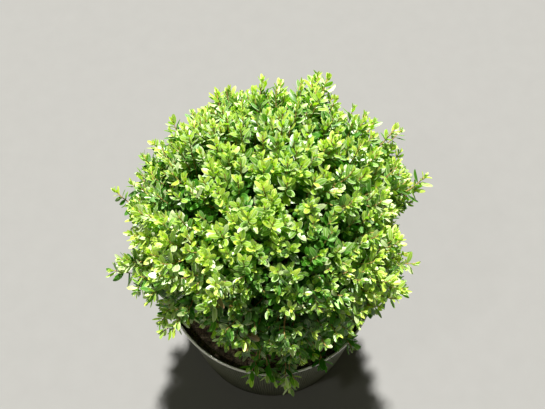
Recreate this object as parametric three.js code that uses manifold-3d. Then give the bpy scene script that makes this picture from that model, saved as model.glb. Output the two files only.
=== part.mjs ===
// A box shrub grown as a rounded, leafy ball in its round nursery pot.
// Millimetres, +Z up. The origin is the centre of the pot's flat underside, and -Y is the front.
import * as THREE from "three";
import { mergeVertices } from "three/addons/utils/BufferGeometryUtils.js";
import Module from "manifold-3d";

const wasm = await Module();
wasm.setup();

// The pot
const POT_RIM_DIAMETER = 300;
const POT_BASE_DIAMETER = 263;
const POT_HEIGHT = 234;
const POT_WALL = 2.2;
const POT_FLOOR = 3;
const POT_SEGMENTS = 44;
const LIP_HEIGHT = 9;
const LIP_OUTSTAND = 2.4;
const LIP_ROUNDING = 1.6;
const DRAIN_HOLES = 8;
const DRAIN_HOLE_RADIUS = 7;
const DRAIN_CIRCLE_RADIUS = 106;
const DRAIN_HOLE_SIDES = 8;

// The compost, level round the stem and a little lower at the wall
const COMPOST_BELOW_RIM = 18;
const COMPOST_LEVEL_RADIUS = 30;
const COMPOST_SHOULDER_RADIUS = 80;
const COMPOST_SHOULDER_FALL = 1.5;
const COMPOST_WALL_FALL = 5;

// The gap that pieces keep where they meet
const GAP = 0.3;

// The stem, from its flat cut on the compost to its fork
const STEM_TOP = 276;
const STEM_RADII = [17, 13, 12, 11, 10, 9];
const STEM_SIDES = 12;
const STEM_LEAN = 3;

// The crown: round above its widest level and fuller below it
const CROWN_CENTRE = new THREE.Vector3(0, 0, 386);
const CROWN_RADIUS = 168;
const CROWN_HALF_HEIGHT = 150;
const CROWN_POWER_ABOVE = 2;
const CROWN_POWER_BELOW = 4;

// The fork, which every bough fans out from, and how far the boughs run
const FORK = new THREE.Vector3(0, 0, 268);
const BOUGH_REACH = 62;
const BOUGH_BEND = 30;
const BOUGH_SIDES = 6;
const BOUGH_STEPS = 3;
const TIERS = [
  { name: "top", count: 1, elevation: 90, turn: 0, starts: [STEM_TOP], baseRadius: 5, tipRadius: 3.6 },
  { name: "upper", count: 5, elevation: 52, turn: 90, starts: [250], baseRadius: 4.4, tipRadius: 3.2 },
  { name: "lower", count: 7, elevation: 12, turn: -90, starts: [234, 224], baseRadius: 4.2, tipRadius: 3 },
];

// Each mass: a core that starts past the bough's tip, and the space between two masses
const CORE_START = 70;
const CORE_FLOOR = 246;
const CORE_SHARE = 0.88;
const CORE_CENTRE_SHARE = 0.6;
const CORE_ROUNDNESS = 8;
const CORE_DETAIL = 2;
const CORE_ROUGHNESS = 0.26;
const MASS_MARGIN = 0.6;
const MASS_STEM_TAPER = 0.5;

// The leaves that stand in pairs straight out of the cores
const PAIR_SHARE = 0.25;
const PAIR_SUNK = 3;
const PAIR_LEVEL = 0.72;
const PAIR_LEAN = 40;
const PAIR_LEAN_SPREAD = 24;

// The shoots that stand out further, three-sided, with leaves in crossed pairs
const SHOOT_COUNT = 36;
const SHOOT_SUNK = 24;
const SHOOT_BASE_RADIUS = 2.1;
const SHOOT_TIP_RADIUS = 1.5;
const SHOOT_SIDES = 3;
const SHOOT_BORDER = 9;
const SHOOT_LOWEST = 240;
const SHOOT_LEAST_LENGTH = 8;
const SHOOT_STAND_OUT = 14;
const SHOOT_PAIR_PLACES = [0.5, 1];
const SHOOT_PAIR_LEANS = [56, 32];

// The leaves, larger than life
const LEAF_LENGTH = 36;
const LEAF_WIDTH = 20;
const LEAF_THICKNESS = 1.4;
const LEAF_WIDEST = 0.56;
const LEAF_BELOW_TIP = 4;
const LEAF_SPACING = 13;

// Room that foliage keeps over the pot's rim and over the compost
const RIM_ROOM = 3;
const RIM_BAND = 12;
const COMPOST_ROOM = 8;

// The long shoots that stand out of the round outline: azimuth and elevation in degrees, and the
// distance of each tip from the fork
const LONG_SHOOTS = [
  [92, 53, 262],
  [65, 51, 282],
  [113, 52, 256],
  [30, 46, 266],
  [12, 42, 257],
  [-18, 36, 226],
  [-29, 34, 220],
  [155, 47, 245],
  [171, 42, 251],
  [-162, 35, 241],
  [-135, 30, 222],
  [-58, 10, 178],
  [-80, -2, 177],
  [-100, 4, 169],
  [-46, -2, 178],
  [-12, 6, 182],
  [45, 14, 190],
  [90, 18, 192],
  [135, 14, 190],
  [180, 10, 184],
  [0, 86, 288],
  [150, 80, 282],
  [-90, 78, 280],
];

const GOLDEN_SHARE = (Math.sqrt(5) - 1) / 2;
const GOLDEN_ANGLE = 2 * Math.PI * (1 - GOLDEN_SHARE);
const RANDOM_FACTOR = 1664525;
const RANDOM_STEP = 1013904223;
const RANDOM_RANGE = 2 ** 32;
const WELD = 1e-4;
const LEVEL_SEARCH_STEPS = 30;
const UP = new THREE.Vector3(0, 0, 1);
const SIDEWAYS = new THREE.Vector3(1, 0, 0);
const STEEP = 0.95;
const SEED = 12;

const POT_RIM_RADIUS = POT_RIM_DIAMETER / 2;
const POT_BASE_RADIUS = POT_BASE_DIAMETER / 2;
const POT_TAPER = (POT_RIM_RADIUS - LIP_OUTSTAND - POT_BASE_RADIUS) / POT_HEIGHT;
const COMPOST_TOP = POT_HEIGHT - COMPOST_BELOW_RIM;

// A repeatable source of numbers from 0 to 1.
function randomFrom(seed) {
  let state = seed;
  return () => {
    state = (Math.imul(state, RANDOM_FACTOR) + RANDOM_STEP) >>> 0;
    return state / RANDOM_RANGE;
  };
}

// The unit vector at an azimuth from +X and an elevation above the horizon, in degrees.
function direction(azimuth, elevation) {
  const a = THREE.MathUtils.degToRad(azimuth);
  const e = THREE.MathUtils.degToRad(elevation);
  return new THREE.Vector3(Math.cos(e) * Math.cos(a), Math.cos(e) * Math.sin(a), Math.sin(e));
}

// A geometry's positions alone, with its shared vertices merged.
function weldedGeometry(geometry) {
  const bare = geometry.clone();
  bare.deleteAttribute("normal");
  bare.deleteAttribute("uv");
  return mergeVertices(bare, WELD);
}

// A closed solid from a geometry, without its flat triangles.
function solidOf(geometry) {
  const merged = weldedGeometry(geometry);
  const corners = merged.index.array;
  const kept = [];
  for (let i = 0; i < corners.length; i += 3) {
    const [a, b, c] = [corners[i], corners[i + 1], corners[i + 2]];
    if (a !== b && b !== c && c !== a) kept.push(a, b, c);
  }
  return new wasm.Manifold(
    new wasm.Mesh({
      numProp: 3,
      vertProperties: new Float32Array(merged.attributes.position.array),
      triVerts: new Uint32Array(kept),
    }),
  );
}

// The geometry of a solid.
function geometryOf(solid) {
  const mesh = solid.getMesh();
  const geometry = new THREE.BufferGeometry();
  geometry.setAttribute("position", new THREE.BufferAttribute(new Float32Array(mesh.vertProperties), 3));
  geometry.setIndex(new THREE.BufferAttribute(new Uint32Array(mesh.triVerts), 1));
  geometry.computeVertexNormals();
  return geometry;
}

// A solid of revolution about +Z from rows of radius and height.
function turned(rows, segments) {
  const profile = rows.map(([radius, height]) => new THREE.Vector2(radius, height));
  return solidOf(new THREE.LatheGeometry(profile, segments).rotateX(Math.PI / 2));
}

// A tapering limb: an upright cylinder whose rings are carried along a curve.
function limb(curve, baseRadius, tipRadius, sides, steps) {
  const geometry = new THREE.CylinderGeometry(tipRadius, baseRadius, 1, sides, steps);
  const place = geometry.attributes.position;
  const side = new THREE.Vector3();
  const across = new THREE.Vector3();
  for (let i = 0; i < place.count; i += 1) {
    const along = THREE.MathUtils.clamp(place.getY(i) + 0.5, 0, 1);
    const tangent = curve.getTangent(along);
    side.crossVectors(tangent, Math.abs(tangent.z) > STEEP ? SIDEWAYS : UP).normalize();
    across.crossVectors(side, tangent);
    const point = curve.getPoint(along);
    point.addScaledVector(side, place.getX(i)).addScaledVector(across, place.getZ(i));
    place.setXYZ(i, point.x, point.y, point.z);
  }
  return solidOf(geometry);
}

// The pot's outer radius at a height, below its lip.
function potRadius(height) {
  return POT_BASE_RADIUS + POT_TAPER * height;
}

function potSolid() {
  const lipFoot = POT_HEIGHT - LIP_HEIGHT;
  const lipInside = potRadius(lipFoot) - POT_WALL;
  let pot = turned(
    [
      [0, 0],
      [POT_BASE_RADIUS - LIP_ROUNDING, 0],
      [potRadius(LIP_ROUNDING), LIP_ROUNDING],
      [potRadius(lipFoot), lipFoot],
      [POT_RIM_RADIUS, lipFoot + LIP_ROUNDING],
      [POT_RIM_RADIUS, POT_HEIGHT - LIP_ROUNDING],
      [POT_RIM_RADIUS - LIP_ROUNDING, POT_HEIGHT],
      [lipInside + LIP_ROUNDING, POT_HEIGHT],
      [lipInside, POT_HEIGHT - LIP_ROUNDING],
      [lipInside, lipFoot],
      [potRadius(POT_FLOOR) - POT_WALL, POT_FLOOR],
      [0, POT_FLOOR],
    ],
    POT_SEGMENTS,
  );
  for (let i = 0; i < DRAIN_HOLES; i += 1) {
    const spot = direction((360 * (i + 0.5)) / DRAIN_HOLES, 0).multiplyScalar(DRAIN_CIRCLE_RADIUS);
    const [radius, depth] = [DRAIN_HOLE_RADIUS, 4 * POT_FLOOR];
    const hole = new THREE.CylinderGeometry(radius, radius, depth, DRAIN_HOLE_SIDES);
    hole.rotateX(Math.PI / 2).translate(spot.x, spot.y, 0);
    pot = pot.subtract(solidOf(hole));
  }
  return pot;
}

function compostSolid() {
  const floor = POT_FLOOR + GAP;
  const wallTop = COMPOST_TOP - COMPOST_WALL_FALL;
  return turned(
    [
      [0, floor],
      [potRadius(floor) - POT_WALL - GAP, floor],
      [potRadius(wallTop) - POT_WALL - GAP, wallTop],
      [COMPOST_SHOULDER_RADIUS, COMPOST_TOP - COMPOST_SHOULDER_FALL],
      [COMPOST_LEVEL_RADIUS, COMPOST_TOP],
      [0, COMPOST_TOP],
    ],
    POT_SEGMENTS,
  );
}

// The stem, wide at its flare and leaning a little, grown all round by a clearance.
function stemSolid(clearance) {
  const foot = COMPOST_TOP + GAP;
  const last = STEM_RADII.length - 1;
  const height = STEM_TOP - foot;
  const geometry = new THREE.CylinderGeometry(1, 1, 1, STEM_SIDES, last);
  const place = geometry.attributes.position;
  for (let i = 0; i < place.count; i += 1) {
    const along = place.getY(i) + 0.5;
    const radius = STEM_RADII[Math.round(along * last)] + clearance;
    const lean = STEM_LEAN * Math.sin(Math.PI * along);
    const rise = foot + height * along + (along === 1 ? clearance : 0);
    place.setXYZ(i, place.getX(i) * radius + lean, -place.getZ(i) * radius, rise);
  }
  return solidOf(geometry);
}

// Every mass: its name, its direction from the fork, and the bough that carries it.
const masses = TIERS.flatMap((tier) =>
  Array.from({ length: tier.count }, (_, i) => ({
    name: tier.count === 1 ? tier.name : `${tier.name}_${i + 1}`,
    aim: direction(tier.turn + (360 * i) / tier.count, tier.elevation),
    start: new THREE.Vector3(0, 0, tier.starts[i % tier.starts.length]),
    baseRadius: tier.baseRadius,
    tipRadius: tier.tipRadius,
  })),
);

// How far out a point lies: 0 at the crown's centre, 1 on its leafy surface.
function crownLevel(point) {
  const rise = point.z - CROWN_CENTRE.z;
  const power = rise > 0 ? CROWN_POWER_ABOVE : CROWN_POWER_BELOW;
  const out = Math.hypot(point.x - CROWN_CENTRE.x, point.y - CROWN_CENTRE.y) / CROWN_RADIUS;
  return (out ** power + (Math.abs(rise) / CROWN_HALF_HEIGHT) ** power) ** (1 / power);
}

// The distance from a start along a direction to where the crown's level is reached.
function distanceToLevel(start, heading, level) {
  let near = 0;
  let far = 2 * CROWN_RADIUS + CROWN_HALF_HEIGHT;
  for (let i = 0; i < LEVEL_SEARCH_STEPS; i += 1) {
    const middle = (near + far) / 2;
    if (crownLevel(start.clone().addScaledVector(heading, middle)) < level) near = middle;
    else far = middle;
  }
  return near;
}

// The planes that part a mass from its neighbours, each with its normal towards the mass.
function bordersOf(mass) {
  return masses.filter((other) => other !== mass).map((other) => mass.aim.clone().sub(other.aim).normalize());
}

for (const mass of masses) {
  mass.borders = bordersOf(mass);
  mass.leaves = [];
  const reach = distanceToLevel(FORK, mass.aim, 1);
  mass.centre = FORK.clone().addScaledVector(mass.aim, CORE_CENTRE_SHARE * reach);
}

// The least distance from a point to the mass's borders, below 0 outside them.
function roomInMass(mass, point) {
  const arm = point.clone().sub(FORK);
  return Math.min(...mass.borders.map((normal) => arm.dot(normal)));
}

// The distance from a core's centre to its surface: a rounded meeting of the borders, the crown's
// inner level, a floor and the sphere round the fork that the boughs lie in.
function coreDistance(mass, heading) {
  const arm = mass.centre.clone().sub(FORK);
  const limits = [distanceToLevel(mass.centre, heading, CORE_SHARE)];
  for (const normal of mass.borders) {
    const closing = -heading.dot(normal);
    if (closing > 0) limits.push((arm.dot(normal) - MASS_MARGIN) / closing);
  }
  if (heading.z < 0) limits.push((mass.centre.z - CORE_FLOOR) / -heading.z);
  const inward = -heading.dot(mass.aim);
  if (inward > 0) limits.push((arm.length() - CORE_START) / inward);
  return limits.reduce((sum, limit) => sum + limit ** -CORE_ROUNDNESS, 0) ** (-1 / CORE_ROUNDNESS);
}

function coreGeometry(mass) {
  const geometry = weldedGeometry(new THREE.IcosahedronGeometry(1, CORE_DETAIL));
  const place = geometry.attributes.position;
  const heading = new THREE.Vector3();
  const random = randomFrom(Math.round(mass.centre.lengthSq()));
  for (let i = 0; i < place.count; i += 1) {
    heading.fromBufferAttribute(place, i).normalize();
    const distance = coreDistance(mass, heading) * (1 - CORE_ROUGHNESS * random());
    const point = mass.centre.clone().addScaledVector(heading, distance);
    place.setXYZ(i, point.x, point.y, point.z);
  }
  return geometry;
}

// The bough's curve: up out of the stem, then over towards its mass.
function boughCurve(mass) {
  const bend = FORK.clone().addScaledVector(mass.aim, BOUGH_REACH - BOUGH_BEND);
  const tip = FORK.clone().addScaledVector(mass.aim, BOUGH_REACH);
  return new THREE.QuadraticBezierCurve3(mass.start, bend, tip);
}

// The short stem of a mass, which goes on from its bough's tip into the core.
function massStem(mass) {
  const foot = FORK.clone().addScaledVector(mass.aim, BOUGH_REACH + GAP);
  const line = new THREE.LineCurve3(foot, mass.centre);
  return limb(line, mass.tipRadius, mass.tipRadius * MASS_STEM_TAPER, BOUGH_SIDES, 1);
}

// True where a point keeps to the mass's own space and clear of the pot, the compost and the boughs.
function hasRoom(mass, point) {
  const out = Math.hypot(point.x, point.y);
  if (roomInMass(mass, point) < MASS_MARGIN) return false;
  if (point.distanceTo(FORK) < CORE_START) return false;
  if (out > POT_RIM_RADIUS - RIM_BAND) return point.z > POT_HEIGHT + RIM_ROOM;
  return point.z > COMPOST_TOP + COMPOST_ROOM;
}

// A leaf of eight faces: pointed at its root and tip, with a ridge along each side.
function leafGeometry(root, heading, facing) {
  const geometry = new THREE.OctahedronGeometry(1);
  const place = geometry.attributes.position;
  const across = new THREE.Vector3().crossVectors(heading, facing).normalize();
  for (let i = 0; i < place.count; i += 1) {
    const [x, y, z] = [place.getX(i), place.getY(i), place.getZ(i)];
    const share = y > 0.5 ? 1 : y < -0.5 ? 0 : LEAF_WIDEST;
    const point = root.clone().addScaledVector(heading, share * LEAF_LENGTH);
    point.addScaledVector(across, (x * LEAF_WIDTH) / 2).addScaledVector(facing, (z * LEAF_THICKNESS) / 2);
    place.setXYZ(i, point.x, point.y, point.z);
  }
  return geometry;
}

function allHaveRoom(mass, geometry) {
  const place = geometry.attributes.position;
  const point = new THREE.Vector3();
  for (let i = 0; i < place.count; i += 1) {
    if (!hasRoom(mass, point.fromBufferAttribute(place, i))) return false;
  }
  return true;
}

// Points spread evenly over the crown by the golden angle, each a little way out from its surface.
function spreadOverCrown(count, random) {
  const points = Array.from({ length: count }, (_, i) => {
    const rise = 1 - (2 * (i + 0.5)) / count;
    const ring = Math.sqrt(1 - rise * rise);
    const turn = i * GOLDEN_ANGLE;
    const heading = new THREE.Vector3(ring * Math.cos(turn), ring * Math.sin(turn), rise);
    const reach = distanceToLevel(CROWN_CENTRE, heading, 1) + SHOOT_STAND_OUT * random();
    return CROWN_CENTRE.clone().addScaledVector(heading, reach);
  });
  return points.filter((point) => point.z > SHOOT_LOWEST);
}

// The tips of the long shoots.
function longTips() {
  return LONG_SHOOTS.map(([azimuth, elevation, distance]) =>
    FORK.clone().addScaledVector(direction(azimuth, elevation), distance),
  );
}

// The mass whose direction from the fork is nearest a point's.
function massAt(point) {
  const heading = point.clone().sub(FORK).normalize();
  return masses.reduce((best, mass) => (mass.aim.dot(heading) > best.aim.dot(heading) ? mass : best));
}

// Moves a tip in from its mass's borders, so that its leaves find room.
function pulledIn(mass, tip) {
  const arm = tip.clone().sub(FORK);
  for (const normal of mass.borders) {
    const short = SHOOT_BORDER - arm.dot(normal);
    if (short > 0) arm.addScaledVector(normal, short);
  }
  return arm.add(FORK);
}

// A unit vector square to a heading, turned about it by an angle.
function sideOf(heading, turn) {
  const side = new THREE.Vector3().crossVectors(heading, Math.abs(heading.z) > STEEP ? SIDEWAYS : UP);
  return side.normalize().applyAxisAngle(heading, turn);
}

// A pair of opposite leaves, fused on to the mass. A leaf that finds no room is skipped.
function withPair(solid, mass, root, heading, turn, lean) {
  const angle = THREE.MathUtils.degToRad(lean);
  const along = heading.clone().multiplyScalar(Math.cos(angle));
  const across = sideOf(heading, turn).multiplyScalar(Math.sin(angle));
  const others = mass.leaves.slice();
  let grown = solid;
  for (const hand of [1, -1]) {
    const leaf = along.clone().addScaledVector(across, hand);
    const facing = heading.clone().addScaledVector(leaf, -heading.dot(leaf)).normalize();
    const middle = root.clone().addScaledVector(leaf, LEAF_LENGTH * LEAF_WIDEST);
    const geometry = leafGeometry(root, leaf, facing);
    if (others.some((other) => other.distanceTo(middle) < LEAF_SPACING)) continue;
    if (!allHaveRoom(mass, geometry)) continue;
    grown = grown.add(solidOf(geometry));
    mass.leaves.push(middle);
  }
  return grown;
}

// Pairs of leaves straight out of the core's outer faces, an even share of them.
function withCorePairs(solid, mass, core, random) {
  const [place, corners] = [core.attributes.position, core.index.array];
  const face = new THREE.Triangle();
  let grown = solid;
  for (let i = 0; i < corners.length / 3; i += 1) {
    face.setFromAttributeAndIndices(place, corners[3 * i], corners[3 * i + 1], corners[3 * i + 2]);
    const middle = face.getMidpoint(new THREE.Vector3());
    if ((i * GOLDEN_SHARE) % 1 > PAIR_SHARE || crownLevel(middle) < PAIR_LEVEL) continue;
    const normal = face.getNormal(new THREE.Vector3());
    const heading = middle.clone().sub(mass.centre).normalize().add(normal).normalize();
    const root = middle.addScaledVector(normal, -PAIR_SUNK);
    const lean = PAIR_LEAN + PAIR_LEAN_SPREAD * (random() - 0.5);
    grown = withPair(grown, mass, root, heading, Math.PI * random(), lean);
  }
  return grown;
}

// A shoot that ends at a tip, with crossed pairs of leaves, fused on to the mass.
function withShoot(solid, mass, tip, random) {
  const heading = tip.clone().sub(mass.centre).normalize();
  const foot = Math.max(0, coreDistance(mass, heading) - SHOOT_SUNK);
  const leafRise = LEAF_LENGTH * Math.cos(THREE.MathUtils.degToRad(SHOOT_PAIR_LEANS.at(-1)));
  const top = Math.max(tip.distanceTo(mass.centre) - leafRise, foot + SHOOT_SUNK + SHOOT_LEAST_LENGTH);
  const at = (distance) => mass.centre.clone().addScaledVector(heading, distance);
  if (!hasRoom(mass, at(top))) return solid;
  const twig = new THREE.LineCurve3(at(foot), at(top));
  let grown = solid.add(limb(twig, SHOOT_BASE_RADIUS, SHOOT_TIP_RADIUS, SHOOT_SIDES, 1));
  const turn = Math.PI * random();
  SHOOT_PAIR_LEANS.forEach((lean, pair) => {
    const above = top - foot - SHOOT_SUNK;
    const root = at(top - LEAF_BELOW_TIP - above * (1 - SHOOT_PAIR_PLACES[pair]));
    grown = withPair(grown, mass, root, heading, turn + (pair * Math.PI) / 2, lean);
  });
  return grown;
}

// Each finish's colour and roughness. Nothing on the plant or its pot is metal.
const finishes = {
  pot: { color: 0x34352b, roughness: 0.62 },
  compost: { color: 0x2a2119, roughness: 0.95 },
  bark: { color: 0x7a6a45, roughness: 0.85 },
  foliage: { color: 0x6f9a3a, roughness: 0.45 },
};

function named(name, solid, finish) {
  const material = new THREE.MeshStandardMaterial({ ...finish, metalness: 0, flatShading: true });
  const mesh = new THREE.Mesh(geometryOf(solid), material);
  mesh.name = name;
  return mesh;
}

const potted = new THREE.Group();
potted.add(named("pot", potSolid(), finishes.pot));
potted.add(named("compost", compostSolid(), finishes.compost));

const plant = new THREE.Group();
plant.add(named("stem", stemSolid(0), finishes.bark));
const stemRoom = stemSolid(GAP);
for (const mass of masses) {
  const bough = limb(boughCurve(mass), mass.baseRadius, mass.tipRadius, BOUGH_SIDES, BOUGH_STEPS);
  plant.add(named(`bough_${mass.name}`, bough.subtract(stemRoom), finishes.bark));
}

const random = randomFrom(SEED);
const cores = new Map(masses.map((mass) => [mass, coreGeometry(mass)]));
const grown = new Map(masses.map((mass) => [mass, solidOf(cores.get(mass)).add(massStem(mass))]));
for (const tip of [...longTips(), ...spreadOverCrown(SHOOT_COUNT, random)]) {
  const mass = massAt(tip);
  grown.set(mass, withShoot(grown.get(mass), mass, pulledIn(mass, tip), random));
}
for (const mass of masses) {
  const foliage = withCorePairs(grown.get(mass), mass, cores.get(mass), random);
  plant.add(named(`foliage_${mass.name}`, foliage, finishes.foliage));
}

const shrub = new THREE.Group();
shrub.add(potted, plant);

export default shrub;
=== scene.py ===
"""A box shrub grown as a rounded, leafy ball in its fluted nursery pot.

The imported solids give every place. The sizes inside the classes are millimetres, and a mesh is
written in metres. -Y is the front.
"""

from __future__ import annotations

import logging
import math
from collections.abc import Sequence
from dataclasses import dataclass, field, fields
from enum import Enum
from typing import Any, Self

import bpy
import numpy as np
from mathutils import Matrix, Vector


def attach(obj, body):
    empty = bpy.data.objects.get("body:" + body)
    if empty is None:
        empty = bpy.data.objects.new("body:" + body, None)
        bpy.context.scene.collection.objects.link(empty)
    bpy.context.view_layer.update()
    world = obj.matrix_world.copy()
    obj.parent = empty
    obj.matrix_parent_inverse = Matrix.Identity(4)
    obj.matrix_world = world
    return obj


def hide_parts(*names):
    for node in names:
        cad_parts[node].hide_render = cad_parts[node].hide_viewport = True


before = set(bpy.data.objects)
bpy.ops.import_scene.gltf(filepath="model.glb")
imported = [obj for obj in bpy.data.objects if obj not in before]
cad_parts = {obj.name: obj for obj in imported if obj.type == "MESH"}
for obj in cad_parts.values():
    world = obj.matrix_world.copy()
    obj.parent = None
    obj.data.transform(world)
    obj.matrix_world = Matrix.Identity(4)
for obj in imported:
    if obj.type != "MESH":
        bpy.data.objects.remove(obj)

LOG = logging.getLogger("box_shrub")
BODY = "root"
METRES = 0.001
LEAF_MAP = "OFBake"
MAP_MARGIN = 0.04
GOLDEN_ANGLE = math.pi * (3 - math.sqrt(5))
Array = np.ndarray
Colour = tuple[float, float, float]
Triple = tuple[float, float, float]
Patch = tuple[float, float, float, float]
Range = tuple[float, float]
SHADED_SHEEN: Colour = (0.6, 1.0, 0.35)


class Slot(Enum):
    """The record's material slots."""

    POT = "pot_plastic"
    COMPOST = "compost"
    BARK = "bark"
    FOLIAGE = "foliage"


class Leaf(Enum):
    """The kinds of leaf, from the darkest, older leaves that also stand for painted shade deep inside the
    crown, to the newest at the tips.
    """

    INNER = 0
    DEEP = 1
    MID = 2
    LIGHT = 3
    YOUNG = 4
    NEW = 5
    PALE = 6
    BRONZE = 7


# Surfaces


@dataclass
class Surface:
    """Points in millimetres with their faces.

    Attributes:
        points: One row of x, y and z for each point.
        faces: Arrays of point numbers, one row for each face, all rows of an array alike in length.
        places: Where each corner of each face lies on the piece's own map, or nothing.
    """

    points: Array
    faces: list[Array]
    places: list[Array] = field(default_factory=list)

    def triangles(self) -> int:
        """Returns how many triangles the faces make."""
        return sum(len(face) * (face.shape[1] - 2) for face in self.faces)


def unit(vectors: Array) -> Array:
    """Returns the vectors scaled to a length of one."""
    return vectors / np.maximum(np.linalg.norm(vectors, axis=-1, keepdims=True), 1e-9)


def direction(azimuth: Array | float, elevation: Array | float) -> Array:
    """Gives unit vectors.

    Args:
        azimuth: Degrees from +X towards +Y.
        elevation: Degrees above the horizon.

    Returns:
        The cosine and sine of the azimuth, both times the cosine of the elevation, and its sine.
    """
    a, e = np.radians(azimuth), np.radians(elevation)
    flat = np.cos(e)
    return np.stack(np.broadcast_arrays(flat * np.cos(a), flat * np.sin(a), np.sin(e)), axis=-1)


def square_to(headings: Array) -> Array:
    """Gives a unit vector square to each heading.

    Args:
        headings: Unit vectors.

    Returns:
        The heading crossed with up, or with +X where the heading is steep.
    """
    steep = np.abs(headings[..., 2:3]) > 0.95
    other = np.where(steep, np.array([1.0, 0.0, 0.0]), np.array([0.0, 0.0, 1.0]))
    return unit(np.cross(headings, other))


def ramp(values: Array, start: float, end: float) -> Array:
    """Returns 0 at the start and 1 at the end, in a straight line between them and level beyond."""
    return np.clip((values - start) / (end - start), 0, 1)


def turned_about(vectors: Array, axes: Array, angles: Array) -> Array:
    """Turns vectors that are square to their axes.

    Args:
        vectors: Unit vectors square to the axes.
        axes: Unit vectors.
        angles: Radians.

    Returns:
        The cosine times the vector plus the sine times the axis crossed with the vector.
    """
    angles = np.asarray(angles)[..., None]
    return vectors * np.cos(angles) + np.cross(axes, vectors) * np.sin(angles)


def ripple(points: Array, seed: int, scale: float, waves: int = 9) -> Array:
    """A smooth, repeatable roughness.

    Args:
        points: The points, in millimetres.
        seed: Which roughness.
        scale: The usual distance between two crests.
        waves: How many waves are added.

    Returns:
        The sum of sine waves of random directions, lengths and phases, scaled to about -1 to 1.
    """
    source = np.random.default_rng(seed)
    ways = unit(source.normal(size=(waves, 3))) * (2 * np.pi / scale) * source.uniform(0.6, 1.6, (waves, 1))
    phases = source.uniform(0, 2 * np.pi, waves)
    total = np.zeros(points.shape[:-1])
    for way, phase in zip(ways, phases):
        total += np.sin(points @ way + phase)
    return total * (1.6 / waves)


def round_angles(count: int) -> Array:
    """Returns equal steps of angle all the way round, in radians."""
    return np.arange(count) * 2 * np.pi / count


def rings(radius: Array, angle: Array, height: Array | float) -> Array:
    """Returns points at the radius times the angle's cosine and sine, and at the height."""
    return np.stack(np.broadcast_arrays(radius * np.cos(angle), radius * np.sin(angle), height), axis=-1)


def blocks_of_four(grid: Array, turn: int) -> list[Array]:
    """Returns the four corners of each cell of a grid that closes on itself, as four grids."""
    beside = np.roll(grid, turn, axis=1)
    return [grid[:-1], grid[1:], beside[:-1], beside[1:]]


def grid_faces(rows: int, columns: int) -> Array:
    """Four-cornered faces over a grid whose last column meets its first.

    Args:
        rows: How many rows of points there are.
        columns: How many points lie in each row.

    Returns:
        For each row but the last and each column, the corners in turn.
    """
    here = np.arange(rows * columns).reshape(rows, columns)
    after = np.roll(here, -1, axis=1)
    corners = [here[:-1], after[:-1], after[1:], here[1:]]
    return np.stack(corners, axis=-1).reshape(-1, 4)


def lathed(radii: Array, heights: Array, closed: bool) -> Surface:
    """A surface round the upright axis.

    Args:
        radii: The radius of each row at each angle.
        heights: The height of each row, or of each row at each angle.
        closed: True where the last row meets the first, and False for rows that end in two poles.

    Returns:
        Each point is the radius times the cosine and sine of its angle, at its height.
    """
    rows, columns = radii.shape
    tall = np.broadcast_to(heights if heights.ndim == 2 else heights[:, None], radii.shape)
    points = rings(radii, round_angles(columns), tall).reshape(-1, 3)
    if closed:
        faces = grid_faces(rows + 1, columns) % (rows * columns)
        return Surface(points, [faces])
    poles = np.array([[0, 0, tall[0].mean()], [0, 0, tall[-1].mean()]])
    first, ring = rows * columns, np.arange(columns)
    after = np.roll(ring, -1)
    foot = np.stack([np.full(columns, first), after, ring], axis=-1)
    top = (rows - 1) * columns
    head = np.stack([np.full(columns, first + 1), top + ring, top + after], axis=-1)
    return Surface(np.concatenate([points, poles]), [grid_faces(rows, columns), foot, head])


class Rows:
    """Many things alike, kept as arrays with one row for each thing."""

    def values(self) -> list[Array]:
        """Returns the arrays in the order of the fields."""
        return [getattr(self, each.name) for each in fields(self)]

    def count(self) -> int:
        """Returns how many things there are."""
        return len(self.values()[0])

    def picked(self, which: Array) -> Self:
        """Returns the things that an index or a mask picks."""
        return type(self)(*(values[which] for values in self.values()))

    @classmethod
    def joined(cls, parts: Sequence[Self]) -> Self:
        """Returns several sets of things as one."""
        return cls(*(np.concatenate(values) for values in zip(*(part.values() for part in parts))))


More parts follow.
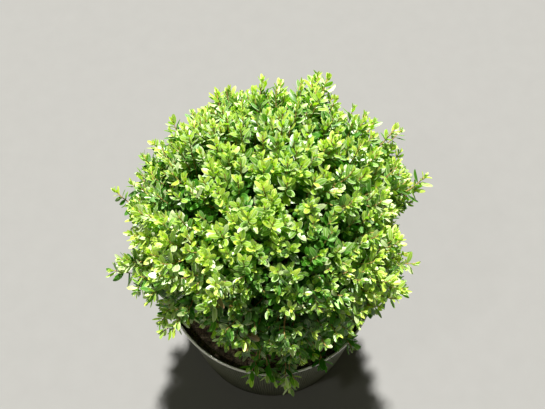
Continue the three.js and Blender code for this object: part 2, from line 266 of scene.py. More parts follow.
@dataclass
class Stalks(Rows):
    """Many tapering stalks, each a curve from its start past its bend to its tip.

    Attributes:
        start: Where each stalk starts.
        bend: The point that each stalk leans towards half way.
        tip: Where each stalk ends.
        base_radius: Each stalk's radius at its start.
        tip_radius: Each stalk's radius at its tip.
    """

    start: Array
    bend: Array
    tip: Array
    base_radius: Array
    tip_radius: Array

    def at(self, share: Array) -> Array:
        """Gives points along the stalks.

        Args:
            share: How far along each stalk, from 0 to 1, with one row for each stalk.

        Returns:
            (1 - s) squared times the start, plus 2s(1 - s) times the bend, plus s squared times the tip.
        """
        s = share[..., None]
        start, bend, tip = (self.spread(x, share) for x in (self.start, self.bend, self.tip))
        return (1 - s) ** 2 * start + 2 * s * (1 - s) * bend + s**2 * tip

    def heading(self, share: Array) -> Array:
        """Gives the stalks' directions.

        Args:
            share: How far along each stalk, from 0 to 1, with one row for each stalk.

        Returns:
            The unit vector of (1 - s)(bend - start) + s(tip - bend).
        """
        s = share[..., None]
        start, bend, tip = (self.spread(x, share) for x in (self.start, self.bend, self.tip))
        return unit((1 - s) * (bend - start) + s * (tip - bend))

    def lengths(self) -> Array:
        """Returns each stalk's length, the mean of its chord and its two legs."""
        legs = np.linalg.norm(self.bend - self.start, axis=-1) + np.linalg.norm(self.tip - self.bend, axis=-1)
        return (legs + np.linalg.norm(self.tip - self.start, axis=-1)) / 2

    @staticmethod
    def spread(values: Array, share: Array) -> Array:
        """Returns one value a stalk, shaped to go with several shares a stalk."""
        return values if share.ndim == 1 else values[:, None, :]

    def surface(self, sides: int, steps: int, relief: float = 0.0, seed: int = 0) -> Surface:
        """Makes the stalks' skins.

        Args:
            sides: How many points lie round each stalk.
            steps: How many rings each stalk has after its first.
            relief: How rough the skin is, as a share of the radius.
            seed: Which roughness.

        Returns:
            Rings carried along the curves: each point is the curve's point plus the ring's radius times the
            cosine of its angle along one side and the sine along the other. Both ends are closed.
        """
        count = self.count()
        share = np.broadcast_to(np.linspace(0, 1, steps + 1), (count, steps + 1))
        middle, heading = self.at(share), self.heading(share)
        side = square_to(unit(self.tip - self.start))[:, None, :]
        side = unit(side - heading * np.sum(side * heading, axis=-1, keepdims=True))
        across = np.cross(heading, side)
        radius = self.base_radius[:, None] * (1 - share) + self.tip_radius[:, None] * share
        angle = round_angles(sides)
        round_it = side[:, :, None] * np.cos(angle)[:, None] + across[:, :, None] * np.sin(angle)[:, None]
        points = middle[:, :, None] + radius[:, :, None, None] * round_it
        if relief:
            rough = ripple(points * np.array([1, 1, 0.35]), seed, 7.0)
            points = points + round_it * (radius[:, :, None] * relief * rough)[..., None]
        each = (steps + 1) * sides
        first = np.arange(count)[:, None, None] * each
        walls = (grid_faces(steps + 1, sides)[None] + first).reshape(-1, 4)
        ring = np.arange(sides)
        foot = (ring[::-1][None] + first[:, 0]).reshape(count, sides)
        head = (ring[None] + steps * sides + first[:, 0]).reshape(count, sides)
        return Surface(points.reshape(-1, 3), [walls, foot, head])


@dataclass
class Leaves(Rows):
    """Many leaves.

    Attributes:
        root: Where each leaf starts.
        along: The unit vector from each root towards its tip.
        facing: The unit vector that each upper face looks along at the root.
        length: Each leaf's length.
        width: Each leaf's width.
        bend: How far each leaf bends back along its length, in radians.
        fold: How far each leaf's edges lie below its rib, as a share of half its width.
        kind: Each leaf's kind, as a number of Leaf.
        tile: Which of the map's tiles each leaf takes.
    """

    root: Array
    along: Array
    facing: Array
    length: Array
    width: Array
    bend: Array
    fold: Array
    kind: Array
    tile: Array


@dataclass(frozen=True)
class Blade:
    """The outline that every leaf shares.

    Attributes:
        shares: How far along the leaf each row of points lies.
        widths: Each row's width, as a share of the leaf's.
        tiles: How many tiles the map has each way.
    """

    shares: tuple[float, ...] = (0.14, 0.36, 0.64, 0.89)
    widths: tuple[float, ...] = (0.52, 0.93, 0.97, 0.58)
    tiles: int = 4

    def surface(self, leaves: Leaves) -> Surface:
        """Makes the leaves.

        Args:
            leaves: The leaves.

        Returns:
            Each leaf's rib is an arc that bends back from its facing, and each row has a point on the rib
            and one on each edge, dropped along the arc's normal by the fold. Root and tip are single points.
        """
        s = np.array([0.0, *self.shares, 1.0])
        half = leaves.width[:, None] / 2 * np.array([0.0, *self.widths, 0.0])
        bend = np.where(np.abs(leaves.bend) < 1e-3, 1e-3, leaves.bend)[:, None]
        reach = leaves.length[:, None] * np.sin(bend * s) / bend
        fall = -leaves.length[:, None] * (1 - np.cos(bend * s)) / bend
        along, facing = leaves.along[:, None], leaves.facing[:, None]
        rib = leaves.root[:, None] + along * reach[..., None] + facing * fall[..., None]
        normal = facing * np.cos(bend * s)[..., None] + along * np.sin(bend * s)[..., None]
        across = np.cross(leaves.along, leaves.facing)[:, None]
        drop = normal * (half * leaves.fold[:, None])[..., None]
        edges = [rib[:, 1:-1] + hand * across * half[:, 1:-1, None] - drop[:, 1:-1] for hand in (-1, 1)]
        rows = np.stack([edges[0], rib[:, 1:-1], edges[1]], axis=2).reshape(len(rib), -1, 3)
        points = np.concatenate([rib[:, :1], rows, rib[:, -1:]], axis=1)
        return Surface(points.reshape(-1, 3), *self.skin(leaves.tile))

    def skin(self, tiles: Array) -> tuple[list[Array], list[Array]]:
        """Gives the leaves' faces and their places on the map.

        Args:
            tiles: The tile of each leaf.

        Returns:
            Two triangles at the root, two four-cornered faces between rows and two triangles at the tip. On
            the map a leaf fills its tile but for a margin, with its rib up the middle.
        """
        rows = len(self.shares)
        last = 3 * rows + 1
        left = 1 + 3 * np.arange(rows)
        lower, upper = left[:-1], left[1:]
        quads = np.concatenate([
            np.stack([lower, lower + 1, upper + 1, upper], axis=-1),
            np.stack([lower + 1, lower + 2, upper + 2, upper + 1], axis=-1),
        ])
        edge, rib, other = left[-1] + np.arange(3)
        ends = np.array([[0, 2, 1], [0, 3, 2], [last, edge, rib], [last, rib, other]])
        v = np.concatenate([[0.0], np.repeat(self.shares, 3), [1.0]])
        u = np.concatenate([[0.5], np.tile([MAP_MARGIN, 0.5, 1 - MAP_MARGIN], rows), [0.5]])
        spot = np.stack([u, MAP_MARGIN + (1 - 2 * MAP_MARGIN) * v], axis=-1)
        corner = np.stack([tiles % self.tiles, tiles // self.tiles], axis=-1)
        faces, places = [], []
        for shape in (quads, ends):
            first = np.arange(len(tiles))[:, None, None] * (last + 1)
            faces.append((shape[None] + first).reshape(-1, shape.shape[1]))
            spots = (spot[shape][None] + corner[:, None, None]) / self.tiles
            places.append(spots.reshape(-1, shape.shape[1], 2))
        return faces, places


# Shaders


class Value:
    """A value's socket, on which sums and products add Math nodes."""

    def __init__(self, nodes: Nodes, socket: bpy.types.NodeSocket) -> None:
        """Keeps the node tree and the socket."""
        self.nodes = nodes
        self.socket = socket

    def math(self, operation: str, *others: Any) -> Value:
        """Adds a Math node.

        Args:
            operation: The node's operation.
            *others: The values or numbers that go in after this one, or before it where the first is None.

        Returns:
            The node's result.
        """
        inputs = list(others[1:]) + [self] if others and others[0] is None else [self, *others]
        return self.nodes.add("ShaderNodeMath", {"operation": operation}, dict(enumerate(inputs)))

    def __add__(self, other: Any) -> Value:
        """Adds."""
        return self.math("ADD", other)

    def __radd__(self, other: Any) -> Value:
        """Adds the other way round."""
        return self.math("ADD", None, other)

    def __sub__(self, other: Any) -> Value:
        """Subtracts."""
        return self.math("SUBTRACT", other)

    def __rsub__(self, other: Any) -> Value:
        """Subtracts the other way round."""
        return self.math("SUBTRACT", None, other)

    def __mul__(self, other: Any) -> Value:
        """Multiplies."""
        return self.math("MULTIPLY", other)

    def __rmul__(self, other: Any) -> Value:
        """Multiplies the other way round."""
        return self.math("MULTIPLY", None, other)

    def __abs__(self) -> Value:
        """Drops the sign."""
        return self.math("ABSOLUTE")

    def step(self, low: float, high: float) -> Value:
        """Rises smoothly from 0 at low to 1 at high, or falls where low is the greater."""
        settings = {"interpolation_type": "SMOOTHSTEP"}
        if low < high:
            return self.nodes.add("ShaderNodeMapRange", settings, {"Value": self, 1: low, 2: high})
        turned = {"Value": self, 1: high, 2: low, 3: 1.0, 4: 0.0}
        return self.nodes.add("ShaderNodeMapRange", settings, turned)


class Nodes:
    """A new material's node tree."""

    def __init__(self, name: str) -> None:
        """Makes the material with its shader alone."""
        self.material = bpy.data.materials.new(name)
        self.material.use_nodes = True
        self.tree = self.material.node_tree
        self.shader = self.tree.nodes["Principled BSDF"]

    def put(self, socket: bpy.types.NodeSocket, value: Any) -> None:
        """Links a socket to a value's socket, or sets it to a number or a colour."""
        if isinstance(value, Value):
            self.tree.links.new(value.socket, socket)
        elif isinstance(value, tuple) and len(value) == 3 and socket.type == "RGBA":
            socket.default_value = (*value, 1.0)
        else:
            socket.default_value = value

    def add(self, kind: str, settings: dict[str, Any], inputs: dict[Any, Any], output: Any = 0) -> Value:
        """Adds any node.

        Args:
            kind: The node's type.
            settings: The node's settings, which are set first.
            inputs: Values, numbers or colours by the name or number of their socket.
            output: The name or number of the socket that is read.

        Returns:
            The node's output.
        """
        node = self.tree.nodes.new(kind)
        for name, value in settings.items():
            setattr(node, name, value)
        for name, value in inputs.items():
            self.put(node.inputs[name], value)
        return Value(self, node.outputs[output])

    def place(self) -> Value:
        """Returns the place on the object."""
        return self.add("ShaderNodeTexCoord", {}, {}, "Object")

    def noise(self, where: Value, scale: float, detail: float = 3.0, rough: float = 0.55) -> Value:
        """Returns noise of a scale, in crests to the metre, at a place."""
        inputs = {"Vector": where, "Scale": scale, "Detail": detail, "Roughness": rough}
        return self.add("ShaderNodeTexNoise", {}, inputs, "Fac")

    def stretched(self, where: Value, factors: Triple) -> Value:
        """Returns a place scaled along each axis."""
        return self.add("ShaderNodeMapping", {}, {"Vector": where, "Scale": factors})

    def parts(self, vector: Value) -> tuple[Value, Value, Value]:
        """Returns a vector's three parts."""
        node = self.tree.nodes.new("ShaderNodeSeparateXYZ")
        self.put(node.inputs[0], vector)
        return tuple(Value(self, out) for out in node.outputs)

    def blend(self, factor: Any, low: Any, high: Any, way: str = "MIX") -> Value:
        """Mixes two colours.

        Args:
            factor: How much of the second colour shows.
            low: The first colour.
            high: The second colour.
            way: The kind of mix.

        Returns:
            The mixed colour.
        """
        settings = {"data_type": "RGBA", "blend_type": way}
        return self.add("ShaderNodeMix", settings, {0: factor, 6: low, 7: high}, 2)

    def bump(self, height: Value, strength: float, distance: float) -> Value:
        """Returns the normal of a height, in metres."""
        inputs = {"Strength": strength, "Distance": distance, "Height": height}
        return self.add("ShaderNodeBump", {}, inputs)

    def let_through(self, through: Value, share: float) -> bpy.types.Material:
        """Mixes a second shader into the surface.

        Args:
            through: The second shader.
            share: How much of it shows.

        Returns:
            The material.
        """
        own = Value(self, self.shader.outputs[0])
        both = self.add("ShaderNodeMixShader", {}, {0: share, 1: own, 2: through})
        self.put(self.tree.nodes["Material Output"].inputs["Surface"], both)
        return self.material

    def finished(self, **sockets: Any) -> bpy.types.Material:
        """Sets the shader's sockets.

        Args:
            **sockets: Values by the socket's name, with underscores for its spaces.

        Returns:
            The material.
        """
        for name, value in sockets.items():
            self.put(self.shader.inputs[name.replace("_", " ")], value)
        return self.material


@dataclass(frozen=True)
class LeafFinish:
    """One kind of leaf's finish.

    Attributes:
        name: The material's name.
        blade: The blade's colour.
        edge: The colour of the rib and the edge, the edge's paleness partly a painted highlight where its
            curl catches the light.
        tip: The colour that the blade turns to at its tip.
        roughness: How dull the upper face is.
        spread: How much the tiles differ in brightness.
        thinness: The share of light that goes through the blade.
        glow: What the blade's colour is multiplied by for the light that has gone through it.
        sheen: The tint of its shine.
    """

    name: str
    blade: Colour
    edge: Colour
    tip: Colour
    roughness: float = 0.42
    spread: float = 0.5
    thinness: float = 0.4
    glow: Colour = (0.83, 1.2, 0.08)
    sheen: Colour = (1.0, 1.0, 0.96)

    def material(self, tiles: int) -> bpy.types.Material:
        """Makes the finish.

        Args:
            tiles: How many tiles the leaves' map has each way.

        Returns:
            A blade with a pale rib and edge and fine side veins, drawn on each tile of the map, and a little
            lighter or darker from tile to tile; the edge's paleness is partly a painted highlight where the
            curled edge catches the light. Across runs from 0 at the rib to 1 at the edge, and along from 0 at
            the root to 1 at the tip.
        """
        nodes = Nodes(self.name)
        where = nodes.add("ShaderNodeUVMap", {"uv_map": LEAF_MAP}, {})
        scaled = nodes.add("ShaderNodeVectorMath", {"operation": "SCALE"}, {0: where, "Scale": float(tiles)})
        inside = nodes.add("ShaderNodeVectorMath", {"operation": "FRACTION"}, {0: scaled})
        tile = nodes.add("ShaderNodeVectorMath", {"operation": "FLOOR"}, {0: scaled})
        u, v, _ = nodes.parts(inside)
        across = abs(u - 0.5) * 2.17
        along = (v - MAP_MARGIN) * 1.087
        chance = nodes.add("ShaderNodeTexWhiteNoise", {"noise_dimensions": "3D"}, {"Vector": tile})
        rib = across.step(0.12, 0.02) * 0.7
        # Painted highlight in part: the pale margin also stands for light caught by the curled edge.
        margin = across.step(0.68, 1.0) * 0.85
        veins = ((along * 11 + across * 2.2) * (2 * math.pi)).math("SINE")
        blade = nodes.blend(along.step(0.35, 1.0), self.blade, self.tip)
        blade = nodes.blend(rib.math("MAXIMUM", margin), blade, self.edge)
        shade = (chance - 0.5) * self.spread + veins * 0.03 + 1.0
        grey = nodes.add("ShaderNodeCombineXYZ", {}, {0: shade, 1: shade, 2: shade})
        colour = nodes.blend(1.0, blade, grey, "MULTIPLY")
        dull = self.roughness + (chance - 0.5) * 0.16 + margin * 0.1
        height = rib * -0.6 + veins * 0.12
        normal = nodes.bump(height, 0.4, 0.0004)
        nodes.finished(Base_Color=colour, Roughness=dull, Normal=normal, IOR=1.8,
                       Specular_IOR_Level=1.0, Specular_Tint=self.sheen)
        glow = nodes.blend(1.0, colour, self.glow, "MULTIPLY")
        through = nodes.add("ShaderNodeBsdfTranslucent", {}, {"Color": glow})
        return nodes.let_through(through, self.thinness)


@dataclass(frozen=True)
class BarkFinish:
    """The finish of a stem, a bough or a twig.

    Attributes:
        name: The material's name.
        pale: The colour of its ridges.
        dark: The colour of its cracks.
        crests: How many cracks there are to the metre.
        depth: How deep the cracks are, in metres.
    """

    name: str
    pale: Colour
    dark: Colour
    crests: float
    depth: float

    def material(self) -> bpy.types.Material:
        """Returns bark with cracks drawn out along the height and flecks between them."""
        nodes = Nodes(self.name)
        where = nodes.place()
        long = nodes.noise(nodes.stretched(where, (1.0, 1.0, 0.22)), self.crests, 5.0, 0.65)
        fleck = nodes.noise(where, self.crests * 2.7, 2.0)
        crack = long.step(0.38, 0.62)
        colour = nodes.blend(crack * 0.8 + fleck * 0.25, self.dark, self.pale)
        normal = nodes.bump(crack + fleck * 0.35, 0.8, self.depth)
        return nodes.finished(Base_Color=colour, Roughness=fleck * 0.2 + 0.72, Normal=normal)


@dataclass(frozen=True)
class PlasticFinish:
    """The pot's dark moulded plastic, dusted and splashed with compost.

    Attributes:
        flutes: How many flutes the pot has.
        top: The pot's height, in metres.
        rim: The radius of its rim, in metres.
        body: The plastic's colour.
        worn: The colour of its scuffs, and of the flutes' crests as painted light against the painted shade
            of their grooves.
        dust: The colour of the dust and the specks.
        worn_lip: The near-white colour of the lip's edge, a painted highlight.
        flute_foot: The heights between which the flutes' painted light and shade begins.
        flute_head: How far below the top they have run out, and where they are full.
        lip_dust: How far below the top the dust of the lip starts, and where it is full.
        turned_in: How far below the top the edge's painted highlight starts, and where it is full.
        turned_across: The same, inwards from the rim.
        lip_shine: How far below the top the lip starts to shine, and where it shines most.
    """

    flutes: int
    top: float
    rim: float
    body: Colour = (0.012, 0.015, 0.006)
    worn: Colour = (0.118, 0.126, 0.068)
    dust: Colour = (0.12, 0.118, 0.072)
    worn_lip: Colour = (0.93, 0.94, 0.84)
    flute_foot: Range = (0.012, 0.018)
    flute_head: Range = (0.009, 0.0125)
    lip_dust: Range = (0.034, -0.002)
    turned_in: Range = (0.0024, 0.001)
    turned_across: Range = (0.0032, 0.002)
    lip_shine: Range = (0.008, 0.002)

    def below(self, height: Value, depths: Range) -> Value:
        """Returns a smooth step of the height, between two depths below the pot's top."""
        return height.step(*(self.top - depth for depth in depths))

    def material(self) -> bpy.types.Material:
        """Makes the finish.

        Returns:
            Satin plastic, dustier under the lip and at the foot, with faint scuffs round it, flutes painted
            lighter on their crests and darker in their grooves as painted light and shade, and a near-white
            painted highlight, broken up by the scuffs and under a glossy coat, on the edge where the lip
            turns inwards.
        """
        nodes = Nodes("pot_plastic")
        where = nodes.place()
        east, north, height = nodes.parts(where)
        turn = north.math("ARCTAN2", east)
        # Painted light and shade of the flutes: lighter on each crest, darker in each groove.
        flute = (turn * float(self.flutes)).math("COSINE") * 0.5 + 0.5
        fluted = flute * height.step(*self.flute_foot) * self.below(height, self.flute_head)
        cloud = nodes.noise(where, 14.0, 4.0)
        scuff = nodes.noise(nodes.stretched(where, (1.0, 1.0, 7.0)), 55.0, 4.0, 0.7)
        specks = nodes.noise(where, 420.0, 2.0).step(0.66, 0.74)
        scuffs_and_flute_shading = (scuff.step(0.42, 0.72) * cloud + fluted * 0.8).math("MINIMUM", 1.0)
        colour = nodes.blend(scuffs_and_flute_shading, self.body, self.worn)
        foot = height.step(0.05, 0.0)
        lip = self.below(height, self.lip_dust)
        dusty = (foot * 0.5 + lip * 0.1 + 0.12) * cloud.step(0.35, 0.7) + specks * (lip * 0.3 + foot * 0.3)
        colour = nodes.blend(dusty.math("MINIMUM", 0.85), colour, self.dust)
        out = (east * east + north * north).math("SQRT")
        inwards = out.step(*(self.rim - depth for depth in self.turned_across))
        # Painted highlight: the lip's inner edge is painted near white, broken up by the scuffs.
        edge = self.below(height, self.turned_in) * inwards * (scuff * 1.9).math("MINIMUM", 1.0)
        colour = nodes.blend(edge, colour, self.worn_lip)
        grain = nodes.noise(where, 1500.0, 2.0)
        normal = nodes.bump(grain * 0.5 + scuff * 0.5 + specks * 1.5, 0.25, 0.0004)
        dull = dusty * 0.35 + scuff * 0.15 + 0.36 - self.below(height, self.lip_shine) * 0.2
        return nodes.finished(Base_Color=colour, Roughness=dull, Normal=normal, Specular_IOR_Level=0.8,
                              Coat_Weight=edge, Coat_Roughness=0.15, Coat_IOR=2.2)


@dataclass(frozen=True)
class CompostFinish:
    """Moist dark compost and what lies on it.

    Attributes:
        name: The material's name.
        dark: The colour of its hollows.
        light: The colour of its crumbs.
    """

    name: str
    dark: Colour
    light: Colour

    def material(self) -> bpy.types.Material:
        """Returns crumbs of two sizes, paler where the relief stands up and darker in its hollows."""
        nodes = Nodes(self.name)
        where = nodes.place()
        coarse = nodes.noise(where, 160.0, 5.0, 0.7)
        fine = nodes.noise(where, 900.0, 3.0, 0.6)
        cells = {"Vector": where, "Scale": 330.0}
        crumbs = nodes.add("ShaderNodeTexVoronoi", {"feature": "F1"}, cells, "Distance")
        height = coarse + fine * 0.4 - crumbs * 0.6
        colour = nodes.blend((coarse * 0.7 + fine * 0.5).step(0.45, 0.85), self.dark, self.light)
        normal = nodes.bump(height, 0.9, 0.002)
        return nodes.finished(Base_Color=colour, Roughness=fine * 0.25 + 0.7, Normal=normal)


# The pieces


def placed(name: str, data: Any) -> bpy.types.Object:
    """Returns a new object in the scene, at the origin, with a mesh, a lamp or a camera for its data."""
    made = bpy.data.objects.new(name, data)
    bpy.context.scene.collection.objects.link(made)
    return made


def piece(
    name: str, surface: Surface, material: bpy.types.Material,
    replaced: Sequence[str] = (), smooth: bool = True,
) -> None:
    """Makes an object from a surface, which rides on the plant's body, and hides the imported parts that it
    stands for.

    Args:
        name: The piece's name.
        surface: Its surface, in millimetres.
        material: Its material.
        replaced: The nodes that it stands for.
        smooth: True where its faces are shaded smoothly.
    """
    mesh = bpy.data.meshes.new(name)
    corners = np.concatenate([face.ravel() for face in surface.faces]).astype(np.int32)
    sizes = np.concatenate([np.full(len(face), face.shape[1]) for face in surface.faces])
    starts = np.concatenate([[0], np.cumsum(sizes)[:-1]]).astype(np.int32)
    mesh.vertices.add(len(surface.points))
    mesh.vertices.foreach_set("co", (surface.points * METRES).astype(np.float32).ravel())
    mesh.loops.add(len(corners))
    mesh.loops.foreach_set("vertex_index", corners)
    mesh.polygons.add(len(starts))
    mesh.polygons.foreach_set("loop_start", starts)
    mesh.polygons.foreach_set("use_smooth", np.full(len(starts), smooth))
    if surface.places:
        places = np.concatenate([place.reshape(-1, 2) for place in surface.places])
        layer = mesh.uv_layers.new(name=LEAF_MAP)
        layer.data.foreach_set("uv", places.astype(np.float32).ravel())
    mesh.update(calc_edges=True)
    mesh.validate()
    mesh.materials.append(material)
    made = placed(name, mesh)
    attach(made, BODY)
    if replaced:
        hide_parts(*replaced)
    LOG.info("%s: %d triangles", name, surface.triangles())


@dataclass
class Pot:
    """The round nursery pot, with upright flutes, a rolled lip and drain holes.

    Attributes:
        lip_outstand: How far the lip stands out past the wall's own taper.
        lip_roll: The radius of the lip's rolled edges.
        lip_crease: How far below the lip the wall starts to run out into it.
        foot_rounding: How far the foot's edge is drawn in and how high up.
        foot_height: How high the plain band at the foot is.
        inner_row: The height of the one row between the floor and the lip on the inside.
        flute_points: How many points lie round each flute.
        flute_rows: How many rows the flutes have between their ends.
        flute_ends: How far above the foot the first of those rows lies, and how far below the lip the last.
        flute_margin: How far below the lip the flutes are last full. At the foot it is twice as far.
        flute_sharpness: The power that the flutes' wave is raised to.
        hole_circle: The radius at which the drain holes' centres lie.
        hole_band: The least and greatest radius of the small cells that the holes are cut from.
        floor_cell: How wide the small cells are.
        floor_rings: The radii of the wide cells inside them.
    """

    rim_radius: float = 150.0
    base_radius: float = 131.5
    height: float = 234.0
    wall: float = 2.2
    floor: float = 3.0
    lip_height: float = 6.5
    lip_outstand: float = 2.4
    lip_roll: float = 2.08
    lip_crease: float = 1.2
    foot_rounding: float = 1.6
    foot_height: float = 3.2
    inner_row: float = 60.0
    flutes: int = 236
    flute_points: int = 6
    flute_rows: int = 9
    flute_ends: Range = (20.0, 12.0)
    flute_depth: float = 1.0
    flute_margin: float = 3.0
    flute_sharpness: float = 1.5
    holes: int = 8
    hole_radius: float = 7.0
    hole_circle: float = 106.0
    hole_band: Range = (88.0, 126.0)
    floor_cell: float = 2.2
    floor_rings: tuple[float, ...] = (2.0, 20.0, 45.0, 70.0)
    floor_columns: int = 240

    def radius(self, height: Array | float) -> Array | float:
        """Returns the outer radius at a height, below the lip."""
        taper = (self.rim_radius - self.lip_outstand - self.base_radius) / self.height
        return self.base_radius + taper * height

    def wall_surface(self) -> Surface:
        """Makes the wall and its lip.

        Returns:
            A closed profile turned about the axis: up the outside, over the lip and down the inside. The
            outside is drawn in by the flutes: by their depth times a power of half of one less the cosine of
            the flutes times the angle. Each row is a radius, a height and the depth of the flutes there.
        """
        lip_foot, foot, roll = self.height - self.lip_height, self.foot_rounding, self.lip_roll
        inside = self.radius(lip_foot) - self.wall
        crease = lip_foot - self.lip_crease
        between = np.linspace(self.flute_ends[0], lip_foot - self.flute_ends[1], self.flute_rows)
        fluted = np.array([self.flute_margin * 2, *between, lip_foot - self.flute_margin])
        arc = np.radians(np.linspace(0, 90, 5))
        outer = [(self.base_radius - foot, 0.0, 0.0), (self.radius(0.5) - 0.4, 0.4, 0.0)]
        outer += [(self.radius(h), h, 0.0) for h in (foot, self.foot_height)]
        outer += [(self.radius(h), h, self.flute_depth) for h in fluted]
        outer += [(self.radius(crease), crease, 0.0), (self.radius(lip_foot) + 0.2, lip_foot - 0.2, 0.0)]
        lip, top = self.rim_radius - roll, self.height - roll
        outer += [(lip + roll * math.sin(a), lip_foot + roll - roll * math.cos(a), 0.0) for a in arc]
        outer += [(lip + roll * math.cos(a), top + roll * math.sin(a), 0.0) for a in arc]
        round_in = [(inside + roll - roll * math.sin(a), top + roll * math.cos(a), 0.0) for a in arc]
        inner = [(inside, lip_foot, 0.0), (self.radius(self.inner_row) - self.wall, self.inner_row, 0.0)]
        inner += [(self.radius(self.floor) - self.wall, self.floor, 0.0)]
        inner += [(self.base_radius - self.wall - 1.0, 0.0, 0.0)]
        rows = np.array(outer + round_in + inner)
        angle = round_angles(self.flutes * self.flute_points)
        groove = (0.5 - 0.5 * np.cos(self.flutes * angle)) ** self.flute_sharpness
        radii = rows[:, :1] - rows[:, 2:3] * groove
        return lathed(radii, rows[:, 1], closed=True)

    def floor_surface(self) -> Surface:
        """Makes the floor with its drain holes.

        Returns:
            Two flat rings of cells at the underside and on top, joined round the edge and round each hole.
            A cell is left out where its middle lies in a hole, and the points round it are moved on to the
            hole's circle.
        """
        columns = self.floor_columns
        edge = self.base_radius - self.wall / 2
        radii = np.concatenate([self.floor_rings, np.arange(*self.hole_band, self.floor_cell), [edge]])
        rows = len(radii)
        flat = rings(radii[:, None], round_angles(columns), 0.0)[..., :2]
        centres = self.hole_circle * direction(360 * (np.arange(self.holes) + 0.5) / self.holes, 0.0)[:, :2]
        middle = sum(blocks_of_four(flat, -1)) / 4
        gap = np.linalg.norm(middle[:, :, None] - centres, axis=-1).min(-1) < self.hole_radius
        apart = flat[:, :, None] - centres
        near = np.linalg.norm(apart, axis=-1)
        nearest = near.argmin(-1)
        cell = np.pad(gap, ((1, 1), (0, 0)))
        cells = blocks_of_four(cell, 1)
        on_edge = np.any(cells, axis=0) & ~np.all(cells, axis=0)
        way = unit(np.take_along_axis(apart, nearest[..., None, None], 2)[:, :, 0])
        moved = centres[nearest] + self.hole_radius * way
        flat = np.where(on_edge[..., None], moved, flat)
        under = np.concatenate([flat, np.zeros((rows, columns, 1))], axis=-1).reshape(-1, 3)
        over = under + [0, 0, self.floor]
        total = rows * columns
        here = np.arange(total).reshape(rows, columns)
        after = np.roll(here, -1, 1)
        kept = ~gap
        bottom = grid_faces(rows, columns)[kept.ravel()]
        top = np.roll(bottom[:, ::-1], 1, axis=1) + total
        walls = [np.stack([here[-1], after[-1], after[-1] + total, here[-1] + total], -1)]
        edges = (
            (kept[:-1] & gap[1:], here[1:-1], after[1:-1]),
            (gap[:-1] & kept[1:], after[1:-1], here[1:-1]),
            (kept & np.roll(gap, -1, 1), after[1:], after[:-1]),
            (gap & np.roll(kept, -1, 1), after[:-1], after[1:]),
        )
        walls += [np.stack([a[m], b[m], b[m] + total, a[m] + total], -1) for m, a, b in edges]
        poles = np.array([[0, 0, 0], [0, 0, self.floor]])
        low = np.stack([np.full(columns, 2 * total), after[0], here[0]], -1)
        high = np.stack([np.full(columns, 2 * total + 1), here[0] + total, after[0] + total], -1)
        return Surface(np.concatenate([under, over, poles]), [top, bottom, *walls, low, high])

    def build(self) -> None:
        """Builds and dresses the pot."""
        material = PlasticFinish(self.flutes, self.height * METRES, self.rim_radius * METRES).material()
        piece("pot_wall", self.wall_surface(), material, ["pot"])
        piece("pot_floor", self.floor_surface(), material, ["pot"], smooth=False)


